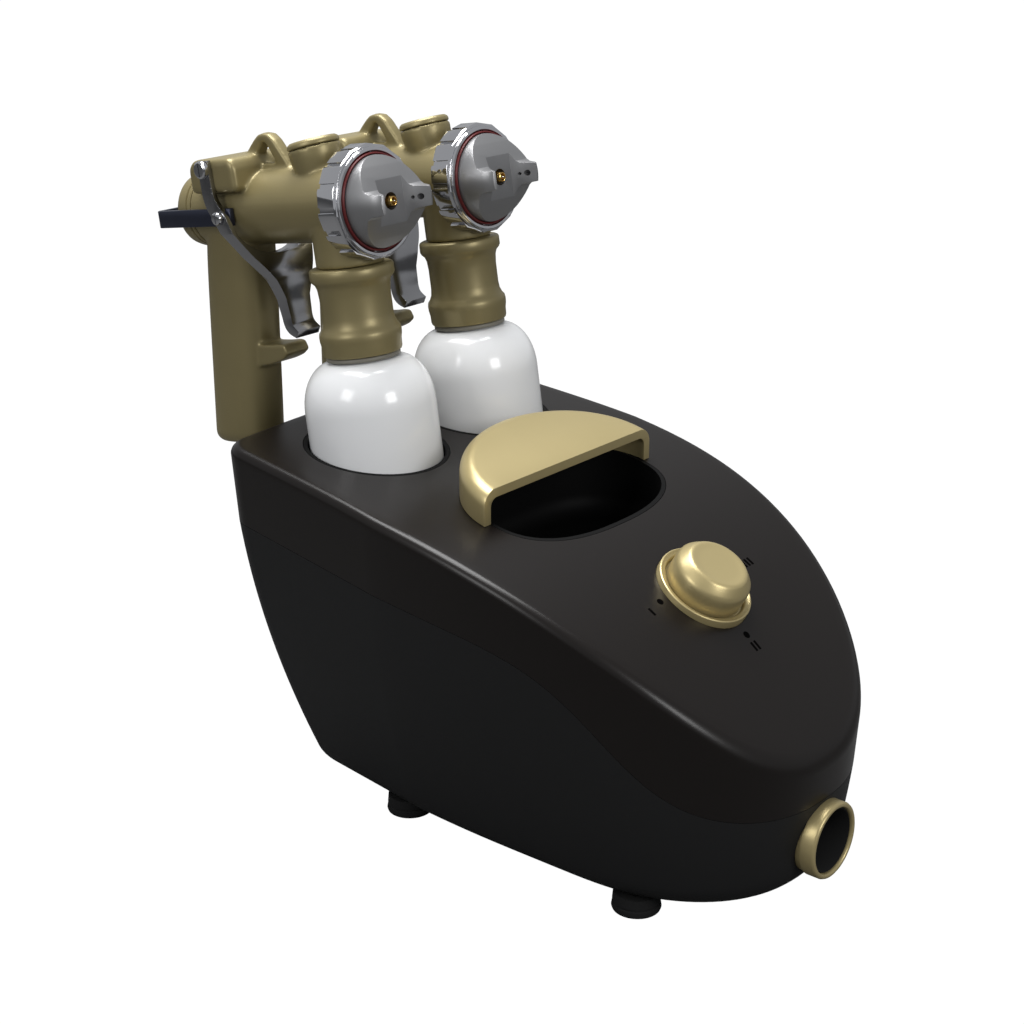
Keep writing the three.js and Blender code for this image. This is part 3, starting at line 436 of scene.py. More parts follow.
bezel_hole_radius = 24.3
well_hole_radius = 36.5
cutter_top = 0.25
casing_top = shaped(skinned(upper_rings), "SOLIDIFY", thickness=shell_wall, offset=-1)
recess_opening = [recess_ring(recess_wall + gap, z) for z in (recess_floor, cutter_top)]
cut(casing_top, skinned(recess_opening, filled=True))
knob_hole = turned([[bezel_hole_radius, -20], [bezel_hole_radius, 20]])
knob_hole.data.transform(knob_frame)
cut(casing_top, knob_hole)
for side in ("left", "right"):
    well_hole = turned([[well_hole_radius, -160], [well_hole_radius, -60]])
    well_hole.data.transform(gun_frame[side])
    cut(casing_top, well_hole)
fitted(casing_top, "casing_top", gloss_black, "casing", "gloss_black", "upper_shell")

# ---- Knob marks ----
# Printed in flat black ink on the deck in front of the knob and beside it: a dot for each of its three
# settings, and one, two or three bars that count them.
print_black = surface("print_black", (0.0004, 0.0004, 0.0004), 0.7, mottle=0.02, relief=0.002,
                      specular=0.02)
ink_thickness = 0.3
dot_radius = 1.7
bar_width = 1.3
bar_length = 4.5
bar_pitch = 2.6
mark_places = [(-29.76, 4.05, -39.2, 1.38), (0, -29.16, 0, -35.19), (29.76, 4.05, 39.2, 1.38)]
knob_marks = []
for setting, (dot_x, dot_y, bars_x, bars_y) in enumerate(mark_places):
    deselect()
    bpy.ops.mesh.primitive_cylinder_add(vertices=32, radius=dot_radius * mm, depth=ink_thickness * mm,
                                        location=(dot_x * mm, dot_y * mm, 0))
    knob_marks.append(bpy.context.object)
    for bar in range(setting + 1):
        bpy.ops.mesh.primitive_cube_add(
            size=mm, scale=(bar_width, bar_length, ink_thickness),
            location=((bars_x + (bar - setting / 2) * bar_pitch) * mm, bars_y * mm, 0))
        knob_marks.append(bpy.context.object)
deselect()
for mark in knob_marks:
    mark.select_set(True)
bpy.context.view_layer.objects.active = knob_marks[0]
bpy.ops.object.join()
bpy.ops.object.transform_apply()
marks = bpy.context.object
for vert in marks.data.vertices:
    lie = vert.co.copy()
    y = knob_y + lie.y * math.cos(math.atan(knob_slope))
    vert.co = (lie.x, y, deck_height(y) + lie.z)
fitted(marks, "knob_marks", print_black, "casing", "satin_black")

# ---- Casing base ----
# The lower half: a satin charcoal tub that narrows downwards, with a well-rounded foot edge, a round
# hole in the nose for the outlet and two square ones in the rear wall.
base_edge_radius = 13 * mm
base_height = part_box("lower_shell")[0][2]
satin_black = surface("satin_black", (0.012, 0.012, 0.0122), 0.5, mottle=0.05, patch=20, spread=0.06,
                      grain=1600, relief=0.02, specular=0.15)
outlet_low, outlet_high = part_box("outlet_collar")
outlet_height = (outlet_low[2] + outlet_high[2]) / 2
outlet_hole_radius = 18.3


def foot_height(y):
    return base_height + base_edge_radius


base_rings = []
for step in range(20):
    share = step / 19
    base_rings.append(wall_ring(
        lambda y: (seam_height(y) - gap / 2) * (1 - share) + foot_height(y) * share))
for step in range(1, 11):
    turn = step / 10 * math.pi / 2
    drop = base_edge_radius * math.sin(turn)
    base_rings.append(wall_ring(lambda y: foot_height(y) - drop,
                                base_edge_radius * (1 - math.cos(turn))))
for step in range(1, 13):
    share = step / 12
    ring = []
    for x, y in outline:
        start = wall_inset(y, base_height) + base_edge_radius
        ring.append((*moved_in(x, y, start + (half_width - start) * share), base_height))
    base_rings.append(ring)
casing_base = shaped(skinned(base_rings), "SOLIDIFY", thickness=shell_wall, offset=-1)
outlet_hole = turned([[outlet_hole_radius, -40], [outlet_hole_radius, 40]])
outlet_hole.data.transform(Matrix.Translation((0, nose_y, outlet_height)) @ Matrix.Rotation(
    math.radians(90), 4, "X"))
cut(casing_base, outlet_hole)

rear_low, rear_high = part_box("filter_cover")
rear_height = (rear_low[2] + rear_high[2]) / 2
fittings_height = 92 * mm


def rear_wall_y(z):
    return moved_in(0, rear_y, wall_inset(rear_y, z))[1]


rear_run = rear_wall_y(rear_height + 5 * mm) - rear_wall_y(rear_height - 5 * mm)
rear_lean = math.atan(rear_run / (10 * mm))
rear_frame = Matrix.Translation((0, rear_wall_y(fittings_height), fittings_height)) @ Matrix.Rotation(
    -rear_lean, 4, "X")


def block(width, depth, height, x, y, z):
    """A block of that size in mm, centred there."""
    deselect()
    bpy.ops.mesh.primitive_cube_add(size=mm, location=(x * mm, y * mm, z * mm),
                                    scale=(width, depth, height))
    bpy.ops.object.transform_apply()
    return bpy.context.object


cover_width = 76
cover_height = 50
cover_x = 20
inlet_width = 30
inlet_height = 48
inlet_x = -56
window_play = 0.6
for width, height, x in [(cover_width, cover_height, cover_x), (inlet_width, inlet_height, inlet_x)]:
    window = block(width + window_play, 30, height + window_play, x, 0, 0)
    window.data.transform(rear_frame)
    cut(casing_base, window)
fitted(casing_base, "casing_base", satin_black, "casing", "satin_black", "lower_shell")

# ---- Feet ----
# Four round feet of soft black rubber under the base, each with a groove round it. A recess in the
# middle of each sole is for the screw that would hold it.
rubber = surface("foot_rubber", (0.01, 0.01, 0.01), 0.85, mottle=0.1, patch=60, grain=1200, relief=0.06,
                 specular=0.2)
for corner in ("front_left", "front_right", "rear_left", "rear_right"):
    low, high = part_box(f"foot_{corner}")
    foot = turned([[4, 2.5], [4, 0.4], [4.6, 0], [10.4, 0], [11.6, 0.5], [12, 1.6], [11.7, 3.5],
                   [11.2, 3.9], [11.2, 4.7], [11.6, 5.1], [11.2, 9.7]], steps=64)
    foot.data.transform(Matrix.Translation(((low[0] + high[0]) / 2, (low[1] + high[1]) / 2, 0)))
    fitted(foot, f"rubber_foot_{corner}", rubber, "casing", "rubber", f"foot_{corner}")

# ---- Carry handle and finger recess ----
# A pale gold half-round hood stands over a black recess in the deck: the fingers reach in under its
# straight front lip, which has a soft outer edge.
trim_gold = surface("trim_gold", (0.43, 0.352, 0.172), 0.36, metallic=0.55, mottle=0.05, patch=25,
                    spread=0.05, grain=3500, relief=0.01)
handle_shoulder = 8 * mm
hollow_shoulder = 4.5 * mm
hood_front_height = 191 * mm
hood_rise = 0.3


def hood_ring(inset, drop, front_y, level=None):
    """Half an oval with a straight front edge, at one level or up the slope of the hood's top."""
    ring = []
    edge = [(handle_half_width - inset) * (1 - step / 8) for step in range(1, 16)]
    for step in range(49):
        angle = step / 48 * math.pi
        y = handle_front_y + (handle_depth - inset) * math.sin(angle)
        if step in (0, 48):
            y = front_y
        ring.append(((handle_half_width - inset) * math.cos(angle), max(y, front_y)))
    ring += [(-x, front_y) for x in edge]
    if level is not None:
        return [(x, y, level) for x, y in ring]
    return [(x, y, hood_front_height + hood_rise * (y - handle_front_y) - drop) for x, y in ring]


def hood_form(wall, corner, front_y, foot):
    rings = [hood_ring(wall, 0, front_y, foot), hood_ring(wall, wall + corner, front_y)]
    for step in range(1, 11):
        turn = step / 10 * math.pi / 2
        rings.append(hood_ring(wall + corner * (1 - math.cos(turn)),
                               wall + corner * (1 - math.sin(turn)), front_y))
    return skinned(rings, filled=True)


hood = hood_form(0, handle_shoulder, handle_front_y, recess_floor)
cut(hood, hood_form(handle_wall, hollow_shoulder, handle_front_y - 20 * mm, recess_floor - 10 * mm))
cut(hood, above_deck(gap), operation="INTERSECT")
rounded(hood, 0.7, angle=50)
fitted(hood, "carry_hood", trim_gold, "casing", "trim_gold", "carry_handle")

recess_corner = 10 * mm
recess_top = deck_rear_height + 20 * mm
recess_rings = []
for step in range(9):
    turn = step / 8 * math.pi / 2
    recess_rings.append(recess_ring(-recess_corner * (1 - math.sin(turn)),
                                    recess_floor + recess_corner * (1 - math.cos(turn))))
recess_rings.append(recess_ring(0, recess_top))
recess_hollow = skinned(recess_rings, filled=True)
recess = skinned([recess_ring(recess_wall, recess_floor - recess_wall),
                  recess_ring(recess_wall, recess_top)], filled=True)
cut(recess, recess_hollow)
cut(recess, above_deck())
# The satin black again, made four times darker: the extra darkness is painted shade, so that the recess,
# the cup wells and the outlet duct read as lying in shadow. The hidden switch and pickup tubes share it.
shade_painted_black = surface("shade_painted_black", (0.003, 0.003, 0.003), 0.6, mottle=0.04, grain=1500, relief=0.01,
                       specular=0.08)
fitted(recess, "finger_recess", shade_painted_black, "casing", "satin_black", "grip_well")

# ---- Control knob ----
# A turned cap, bevelled down to its skirt, sits in the groove of a flanged bezel let into the deck.
# Both have the hood's pale gold finish, and the cap is pushed onto the shaft of the switch.
bezel = turned([[5.3, -5], [24, -5], [24, 2.1], [23.8, 2.7], [23.3, 3], [22.8, 2.9], [22.4, 2.5],
                [21.5, 2.4], [20.9, 2.1], [20.4, 1.4], [20.2, 0.3], [5.3, 0.3]], steps=128, bored=True)
bezel.data.transform(knob_frame)
fitted(bezel, "bezel_ring", trim_gold, "casing", "trim_gold", "knob_bezel", angle=40)
knob = turned([[3.3, 8], [3.3, 0.6], [18.9, 0.6], [19.4, 1.1], [19.4, 8], [19.3, 10.4], [18.9, 12],
               [18.1, 13.1], [15.6, 15.9], [14.8, 16.6], [13.9, 16.95], [13.1, 17], [12, 16.8], [9, 16.6]],
              steps=128)
knob.data.transform(knob_frame)
fitted(knob, "knob_cap", trim_gold, "knob", "trim_gold", "control_knob", angle=40)

# ---- Air outlet ----
# A pale gold collar for the air hose stands out of the nose, with a black rubber liner in its bore.
# Behind it a ribbed black duct leads back towards the turbine.
collar_front = outlet_low[1] / mm
outlet_axis = Matrix.Translation((0, 0, outlet_height)) @ Matrix.Rotation(math.radians(-90), 4, "X")


def along_outlet(profile, steps=96, bored=True):
    """Turned about the outlet's axis, from [radius, depth behind the collar's face] pairs."""
    piece = turned(profile, steps=steps, bored=bored)
    piece.data.transform(outlet_axis @ Matrix.Translation((0, 0, collar_front * mm)))
    return piece


collar = along_outlet([[16.2, 16], [16.2, 1.6], [16.5, 0.5], [17.1, 0.05], [17.9, 0.05], [18.6, 0.5],
                       [19, 1.4], [19, 7.6], [18, 7.7], [18, 16]])
fitted(collar, "outlet_ring", trim_gold, "casing", "trim_gold", "outlet_collar", angle=40)
liner = along_outlet([[16.1, 16], [16.1, 1.9], [15.6, 1.5], [15.3, 1.9], [15.2, 16]])
fitted(liner, "outlet_liner", rubber, "casing", "rubber", angle=40)
duct_end = (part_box("outlet_duct")[1][1] - outlet_low[1]) / mm
duct_profile = [[15.5, 16.3], [18, 16.3]]
duct_ribs = 8
for rib in range(duct_ribs):
    start = 19 + rib * (duct_end - 22) / duct_ribs
    duct_profile += [[18, start], [17.3, start + 1], [17.3, start + 3], [18, start + 4]]
duct = along_outlet(duct_profile + [[18, duct_end], [15.5, duct_end]])
# The duct's darker black is painted shade.
fitted(duct, "ribbed_duct", shade_painted_black, "casing", "satin_black", "outlet_duct", angle=40)

# ---- Cup wells ----
# Each gun's bottle stands in a round black well, moulded with a flat floor and trimmed to the deck.
# The wells lean back as the guns do, so a gun lifts out along its bottle's own axis.
# The wells' darker black is painted shade.
for side in ("left", "right"):
    well = turned([[34.2, -156.3], [36.2, -154.3], [36.2, -84.3], [34.2, -84.3], [34.2, -152.8],
                   [32.7, -154.3]], steps=128)
    well.data.transform(gun_frame[side])
    cut(well, above_deck())
    fitted(well, f"{side}_bottle_well", shade_painted_black, "casing", "satin_black", f"{side}_cup_well",
           angle=40)

# ---- Rear fittings ----
# A filter cover with slanted louvres that pulls straight out, and a three-pin power inlet in its own
# frame. Both are moulded in the base's black plastic and sit in the windows of its rear wall.


def merged(*pieces):
    """Joins pieces into one object without changing their shapes."""
    deselect()
    for piece in pieces:
        piece.select_set(True)
    bpy.context.view_layer.objects.active = pieces[0]
    bpy.ops.object.join()
    return bpy.context.object


cover_depth = 6
cover_y = -1.8
slot_width = 62
louvre_count = 6
louvre_pitch = 7
louvre_slant = math.radians(-32)
louvre_heights = [(number - (louvre_count - 1) / 2) * louvre_pitch for number in range(louvre_count)]
cover = rounded(block(cover_width, cover_depth, cover_height, cover_x, cover_y, 0), 1.0, segments=4)
for height in louvre_heights:
    cut(cover, rounded(block(slot_width, 12, 4.4, cover_x, cover_y, height), 1.4, segments=3))
louvres = []
for height in louvre_heights:
    louvre = rounded(block(slot_width + 1, 1.2, 5.4, 0, 0, 0), 0.35, segments=2)
    louvre.data.transform(Matrix.Translation((cover_x * mm, -2.6 * mm, height * mm))
                          @ Matrix.Rotation(louvre_slant, 4, "X"))
    louvres.append(louvre)
cover = merged(cover, *louvres)
cover.data.transform(rear_frame)
fitted(cover, "louvred_cover", satin_black, "filter", "satin_black", "filter_cover")

pin_pitch = 9
inlet = rounded(block(inlet_width, 24, inlet_height, inlet_x, -10.8, 0), 1.2, segments=4)
mouth = rounded(block(22, 20, 30, inlet_x, -2.8, 0), 3, segments=4, angle=80)
cut(inlet, mouth)
inlet_parts = [inlet]
for z in (-pin_pitch, 0, pin_pitch):
    inlet_parts.append(rounded(block(5, 10, 2, inlet_x, -9.8, z), 0.4, segments=2))
for screw_z in (-19.5, 19.5):
    head = turned([[3, -1.5], [3, -0.2], [2.4, 0.15], [1, 0.3]], steps=32)
    cut(head, block(5, 0.8, 2, 0, 0, 0.3))
    head.data.transform(Matrix.Translation((inlet_x * mm, 1.0 * mm, screw_z * mm))
                        @ Matrix.Rotation(math.radians(-90), 4, "X"))
    inlet_parts.append(head)
inlet = merged(*inlet_parts)
inlet.data.transform(rear_frame)
fitted(inlet, "three_pin_inlet", satin_black, "casing", "satin_black", "power_inlet")

# ---- Hidden pieces ----
# In the casing: the die-cast turbine with its wheel and motor, the foam filter, the knob's shaft and
# switch, and the control board. In the guns: the needles' springs and the plastic pickup tubes. Their
# solids are already right, so they only take their finishes.
cast_alloy = surface("cast_alloy", (0.42, 0.42, 0.43), 0.42, metallic=0.9, mottle=0.06, grain=900,
                     relief=0.04)
plain_steel = surface("plain_steel", (0.5, 0.5, 0.51), 0.25, metallic=1, mottle=0.03, grain=500,
                      relief=0.004, stretch=(8, 8, 0.6))
filter_foam = surface("filter_foam", (0.05, 0.05, 0.053), 0.95, mottle=0.4, patch=500, grain=1400,
                      relief=0.6)
board_green = surface("board_green", (0.015, 0.1, 0.035), 0.4, mottle=0.2, patch=160, grain=700,
                      relief=0.02)
for finish, nodes in [
    (cast_alloy, ["turbine_housing", "impeller", "motor_can"]),
    (plain_steel, ["motor_shaft", "knob_shaft", "left_needle_spring", "right_needle_spring"]),
    (shade_painted_black, ["switch_body", "left_pickup_tube", "right_pickup_tube"]),
    (filter_foam, ["filter_foam"]),
    (board_green, ["circuit_board"]),
]:
    for node in nodes:
        solid = frame["nodes"][node]
        solid.data.materials.clear()
        solid.data.materials.append(finish)

# ---- Gun bodies ----
# One moulding in olive-gold metallic paint: barrel, leaning air port, hanging hook with its window,
# trigger lug, oval grip with a finger rest, and the neck that the cup's lid screws under. A plug closes
# the port, and a turned cap with a slot across its face closes the barrel behind.
gun_gold = surface("gun_gold", (0.235, 0.195, 0.092), 0.4, metallic=0.45, mottle=0.06, patch=40,
                   spread=0.05, grain=2600, relief=0.02)


def smooth_path(points, steps):
    """Points along a smooth curve through the given ones."""
    padded = [points[0], *points, points[-1]]
    path = []
    spans = len(points) - 1
    for step in range(steps + 1):
        place = min(step / steps * spans, spans - 1e-9)
        span = int(place)
        t = place - span
        a, b, c, d = padded[span:span + 4]
        path.append([0.5 * (2 * q + (r - p) * t + (2 * p - 5 * q + 4 * r - s) * t ** 2
                            + (3 * q - p - 3 * r + s) * t ** 3) for p, q, r, s in zip(a, b, c, d)])
    return path


def plate(outline_points, width):
    """A plate of [back, up] outline in mm, with its width across the gun."""
    rings = [[(across * mm, back * mm, up * mm) for back, up in outline_points]
             for across in (-width / 2, width / 2)]
    return skinned(rings, filled=True)


def strip_outline(centres, widths, steps=40):
    """The outline of a strip that follows a smooth curve and changes width on the way."""
    path = smooth_path([[*centre, width] for centre, width in zip(centres, widths)], steps)
    near, far = [], []
    for number, (back, up, width) in enumerate(path):
        before = path[max(0, number - 1)]
        after = path[min(steps, number + 1)]
        run, climb = after[0] - before[0], after[1] - before[1]
        length = math.hypot(run, climb)
        near.append([back - climb / length * width / 2, up + run / length * width / 2])
        far.append([back + climb / length * width / 2, up - run / length * width / 2])
    return near + far[::-1]


def along_barrel(profile, steps=96, bored=False):
    """Turned about the barrel's axis, from [radius, distance back] pairs."""
    piece = turned(profile, steps=steps, bored=bored)
    piece.data.transform(Matrix.Rotation(math.radians(-90), 4, "X"))
    return piece


def onto_guns(piece, name, finish, body, slot, *nodes, angle=30):
    """Seats a piece made in the gun's own frame on the left gun, and a copy of it on the right."""
    twin = piece.copy()
    twin.data = piece.data.copy()
    bpy.context.collection.objects.link(twin)
    for side, copy in (("left", piece), ("right", twin)):
        copy.data.transform(gun_frame[side])
        fitted(copy, f"{side}_{name}", finish, f"{side}_{body}", slot,
               *[f"{side}_{node}" for node in nodes], angle=angle)


grip_back = 75.5
grip_lean = 0.16
grip_depth = 40
grip_width = 28
grip_foot = -123
grip_foot_radius = 6


def grip_ring(up, depth, width):
    """A level section of the grip, which leans back as it goes down."""
    back = grip_back - grip_lean * up
    ring = []
    for step in range(64):
        angle = step / 64 * 2 * math.pi
        across = squared_off(math.cos(angle)) * width / 2
        along = back + squared_off(math.sin(angle)) * depth / 2
        ring.append((across * mm, along * mm, up * mm))
    return ring


grip_sections = smooth_path([
    [-4, 32, 32], [-14, 34.5, 31], [-25, 37, 30], [-42, 39, 28.8], [-60, grip_depth, grip_width],
    [-90, grip_depth, grip_width], [grip_foot + grip_foot_radius, grip_depth, grip_width]], 30)
grip_rings = [grip_ring(up, depth, width) for up, depth, width in grip_sections]
for step in range(1, 7):
    turn = step / 6 * math.pi / 2
    grip_rings.append(grip_ring(grip_foot + grip_foot_radius * (1 - math.sin(turn)),
                                grip_depth - 12 * (1 - math.cos(turn)),
                                grip_width - 9 * (1 - math.cos(turn))))
port_lean = Matrix.Translation((0, 9.5 * mm, 0)) @ Matrix.Rotation(math.radians(-9), 4, "X")
port = turned([[11.5, 0], [11.5, 14], [13, 24], [13.2, 28.3]], steps=64)
port.data.transform(port_lean)
hook = plate([[26, 15], [29, 18.5], [32, 23], [35.5, 28], [39, 33], [42.5, 35.8], [46.5, 36.6],
              [50.5, 35.8], [54, 33.4], [58, 29.8], [63, 25], [72, 15]], 7)
cut(hook, plate([[39.5, 21.8], [54.5, 21.8], [50.5, 28], [47.5, 31.8], [45.5, 31.8]], 20))
lug = plate([[50, 10], [50, 23], [53, 27], [80, 27], [84, 23], [84, 10]], 45.8)
for across in (-21.3, 21.3):
    cut(lug, block(4.6, 60, 10, across, 84, -2.1))
body_parts = [
    along_barrel([[19, -17], [19, 92]], steps=64),
    turned([[17, -30], [17, -5]], steps=64),
    port,
    skinned(grip_rings, filled=True),
    rounded(hook, 1.2, segments=2),
    rounded(lug, 5, segments=5),
    plate(strip_outline([[72, -76], [60, -75], [52, -73.5], [48, -72]], [12, 10, 8, 5], steps=12), 16),
]
gun_body = merged(*body_parts)
shaped(gun_body, "REMESH", mode="VOXEL", voxel_size=0.85 * mm, adaptivity=0)
shaped(gun_body, "SMOOTH", factor=0.5, iterations=7)
onto_guns(gun_body, "gun_casting", gun_gold, "gun", "gun_gold", "gun_body", angle=60)

port_plug = turned([[8, 24], [8, 28.6], [12.6, 28.6], [13.1, 29.1], [13.1, 30.3], [12.6, 31.2],
                    [11.6, 31.9], [7, 32.2]], steps=64)
port_plug.data.transform(port_lean)
onto_guns(port_plug, "port_plug", gun_gold, "gun", "gun_gold", "port_cap")

adjuster = along_barrel([[9, 80], [9, 92.4], [18.4, 92.4], [19, 93], [19, 94.2], [18.3, 94.6], [18.3, 95.2],
                         [19, 95.6], [19, 99.6], [18.4, 102], [17, 103.8], [14.8, 104.7], [12, 105],
                         [4.2, 105], [4.2, 103.6], [1.8, 103.6]])
cut(adjuster, rounded(block(26, 4, 2.6, 0, 105, 0), 0.3, segments=2))
onto_guns(adjuster, "adjuster_cap", gun_gold, "gun", "gun_gold", "rear_cap", angle=40)

# ---- Air cap, ring and nozzle ----
# A chromed ring with fifteen flats clamps the satin silver cap on a dark red seal. Two horns, each
# with two small air holes in its inner face, stand either side of the brass nozzle and its needle.
chrome = surface("chrome", (0.6, 0.6, 0.62), 0.08, metallic=1, mottle=0.02, spread=0.03, grain=220,
                 relief=0.004)
satin_silver = surface("satin_silver", (0.27, 0.27, 0.275), 0.38, metallic=0.8, mottle=0.03, spread=0.06,
                       grain=4000, relief=0.012)
brass = surface("brass", (0.62, 0.4, 0.13), 0.22, metallic=1, mottle=0.05, grain=900, relief=0.006,
                stretch=(1, 0.2, 1))
seal_red = surface("seal_red", (0.1, 0.012, 0.012), 0.4, mottle=0.08, grain=1500, relief=0.02,
                   specular=0.3)

ring_flats = 15
ring_radius = 28
ring = along_barrel([[26.6, -24.4], [ring_radius, -22.2], [ring_radius, -11.6]], steps=ring_flats)
ring.data.transform(Matrix.Rotation(math.radians(12), 4, "Y"))
for number in range(ring_flats):
    notch = block(2.6, 13, 3, 0, -15.6, ring_radius - 0.1)
    notch.data.transform(Matrix.Rotation(math.radians(360 / ring_flats * number + 6), 4, "Y"))
    cut(ring, notch)
cut(ring, along_barrel([[24.45, -30], [24.45, -17.4]]), along_barrel([[19.5, -30], [19.5, -5]]))
cut(ring, along_barrel([[26.2, -26], [26.2, -23.4], [40, -21.6], [40, -26]], bored=True))
rounded(ring, 0.25, segments=2, angle=30)
lip = along_barrel([[23.9, -21], [23.9, -24], [24.4, -24.6], [25.6, -24.6], [26.3, -23.8], [26.4, -21]],
                   steps=128, bored=True)
onto_guns(merged(ring, lip), "clamp_ring", chrome, "ring", "chrome", "retaining_ring", angle=25)

seal = along_barrel([[22.5, -18], [22.5, -25], [22.8, -25.3], [23.2, -25.2], [23.5, -24.7], [23.5, -18]],
                    steps=128, bored=True)
onto_guns(seal, "red_seal", seal_red, "gun", "red_rubber", "cap_seal", angle=45)

air_cap = along_barrel([[22.2, -17.6], [22.2, -25], [22.1, -27], [21.7, -30.5], [20.9, -35], [19.9, -39],
                        [18.9, -42.3], [17.4, -44.3], [15.6, -45]], steps=128)
roof = plate([[-16, -24], [-25.2, -24], [-26.2, -22.4], [-30, -17], [-36, -6.6], [-38, -5.4], [-46, -4.5],
              [-46, 4.5], [-38, 5.4], [-36, 6.6], [-30, 17], [-26.2, 22.4], [-25.2, 24], [-16, 24]], 60)
cut(air_cap, roof, operation="INTERSECT")
channel_plan = [(-9, -33.5), (-16.8, -46.5), (16.8, -46.5), (9, -33.5)]
channel = skinned([[(across * mm, back * mm, up * mm) for across, back in channel_plan]
                   for up in (-30, 30)], filled=True)
cut(air_cap, channel)
cut(air_cap, along_barrel([[16, -10], [16, -22], [10, -29]], steps=64))
rounded(air_cap, 0.55, segments=3, angle=28)
cut(air_cap, along_barrel([[4.2, -50], [4.2, -20]], steps=48))
for radius, back, reach in ((0.8, -37.2, 15), (1.5, -40.6, 17)):
    jet = turned([[radius, -reach], [radius, reach]], steps=24)
    jet.data.transform(Matrix.Translation((0, back * mm, 0)) @ Matrix.Rotation(math.radians(90), 4, "Y"))
    cut(air_cap, jet)
onto_guns(air_cap, "horned_cap", satin_silver, "cap", "satin_silver", "air_cap", angle=28)

nozzle = along_barrel([[1.7, -2.4], [1.7, -35.2], [1.95, -35.5], [2.3, -35.3], [3.4, -29.4], [6.4, -26],
                       [6.8, -25], [6.8, -2.4]], steps=48, bored=True)
onto_guns(nozzle, "brass_nozzle", brass, "gun", "brass", "fluid_nozzle", angle=40)
needle_radius = 1.25
needle = along_barrel([[0.15, -36.2], [0.5, -35.3], [needle_radius, -33.4], [needle_radius, 60], [7, 60],
                       [7, 63], [needle_radius, 63], [needle_radius, 110.2], [3, 110.2], [3, 112.7],
                       [needle_radius, 112.7], [needle_radius, 116.3], [3.2, 116.3], [3.2, 118],
                       [2.7, 118.5]], steps=32)
onto_guns(needle, "needle_rod", plain_steel, "needle", "steel", "needle", angle=35)

# ---- Trigger ----
# A chromed fork hangs from the pivot screw over the barrel, carries the link screws of the
# needle's yoke, and runs together under the barrel into a narrow blade with a curled toe.
# Chrome like the ring's but with a darker colour: painted shade that stands in for the dark reflections on
# the trigger's sides.
shade_darkened_chrome = surface("shade_darkened_chrome", (0.34, 0.34, 0.35), 0.17, metallic=1, mottle=0.05, spread=0.05,
                      grain=260, relief=0.006)
pivot_back = 68.8
pivot_up = 22.5
link_back = 62.7
link_up = -2
fork_inner = 23.0
fork_outer = 25.6
blade = plate(strip_outline(
    [[pivot_back, pivot_up + 4], [68, 8], [link_back, link_up], [54, -18], [46, -34], [44.5, -50],
     [43, -60], [37.5, -64.5]],
    [7, 8, 8.5, 7.5, 8, 7, 6, 4], steps=64), 60)
front_view = [[fork_outer, 40], [fork_inner, 40], [fork_inner, -9]]
for step in range(1, 20):
    angle = step / 20 * math.pi
    front_view.append([fork_inner * math.cos(angle), -9 - 14 * math.sin(angle)])
front_view += [[-fork_inner, -9], [-fork_inner, 40], [-fork_outer, 40], [-fork_outer, -10], [-20, -23],
               [-12, -36], [-8.2, -46], [-7.4, -56], [-8, -72], [8, -72], [7.4, -56], [8.2, -46],
               [12, -36], [20, -23], [fork_outer, -10]]
fork = skinned([[(across * mm, back * mm, up * mm) for across, up in front_view] for back in (15, 95)],
               filled=True)
cut(blade, fork, operation="INTERSECT")
rounded(blade, 0.7, segments=3, angle=40)
onto_guns(blade, "trigger_blade", shade_darkened_chrome, "trigger", "chrome", "trigger", angle=35)

pin_reach = fork_outer + 0.3
pin_head = 2.6
pin = turned([[3.4, -pin_reach - pin_head], [4.3, -pin_reach - 2.0], [4.5, -pin_reach - 1.4],
              [4.5, -pin_reach], [2.5, -pin_reach], [2.5, pin_reach], [4.5, pin_reach],
              [4.5, pin_reach + 1.4], [4.3, pin_reach + 2.0], [3.4, pin_reach + pin_head]], steps=48)
for end in (-1, 1):
    cut(pin, block(7, 0.9, 1.6, 0, 0, end * (pin_reach + pin_head)))
pin.data.transform(Matrix.Translation((0, pivot_back * mm, pivot_up * mm))
                   @ Matrix.Rotation(math.radians(90), 4, "Y"))
onto_guns(pin, "pivot_screw", chrome, "gun", "chrome", "trigger_pin")
link_screw = turned([[1.5, 19.6], [1.5, pin_reach], [3.4, pin_reach], [3.4, pin_reach + 1.2],
                     [3, pin_reach + 1.9], [2.2, pin_reach + 2.2]], steps=32)
cut(link_screw, block(5, 0.7, 1.4, 0, 0, pin_reach + 2.2))
for side in ("left", "right"):
    for place, turn in (("outer", -90), ("inner", 90)):
        if side == "right":
            turn = -turn
        screw = link_screw.copy()
        screw.data = link_screw.data.copy()
        bpy.context.collection.objects.link(screw)
        screw.data.transform(gun_frame[side] @ Matrix.Translation((0, link_back * mm, link_up * mm))
                             @ Matrix.Rotation(math.radians(turn), 4, "Y"))
        fitted(screw, f"{side}_{place}_screw", chrome, f"{side}_trigger", "chrome",
               f"{side}_link_screw_{place}")
bpy.data.objects.remove(link_screw)

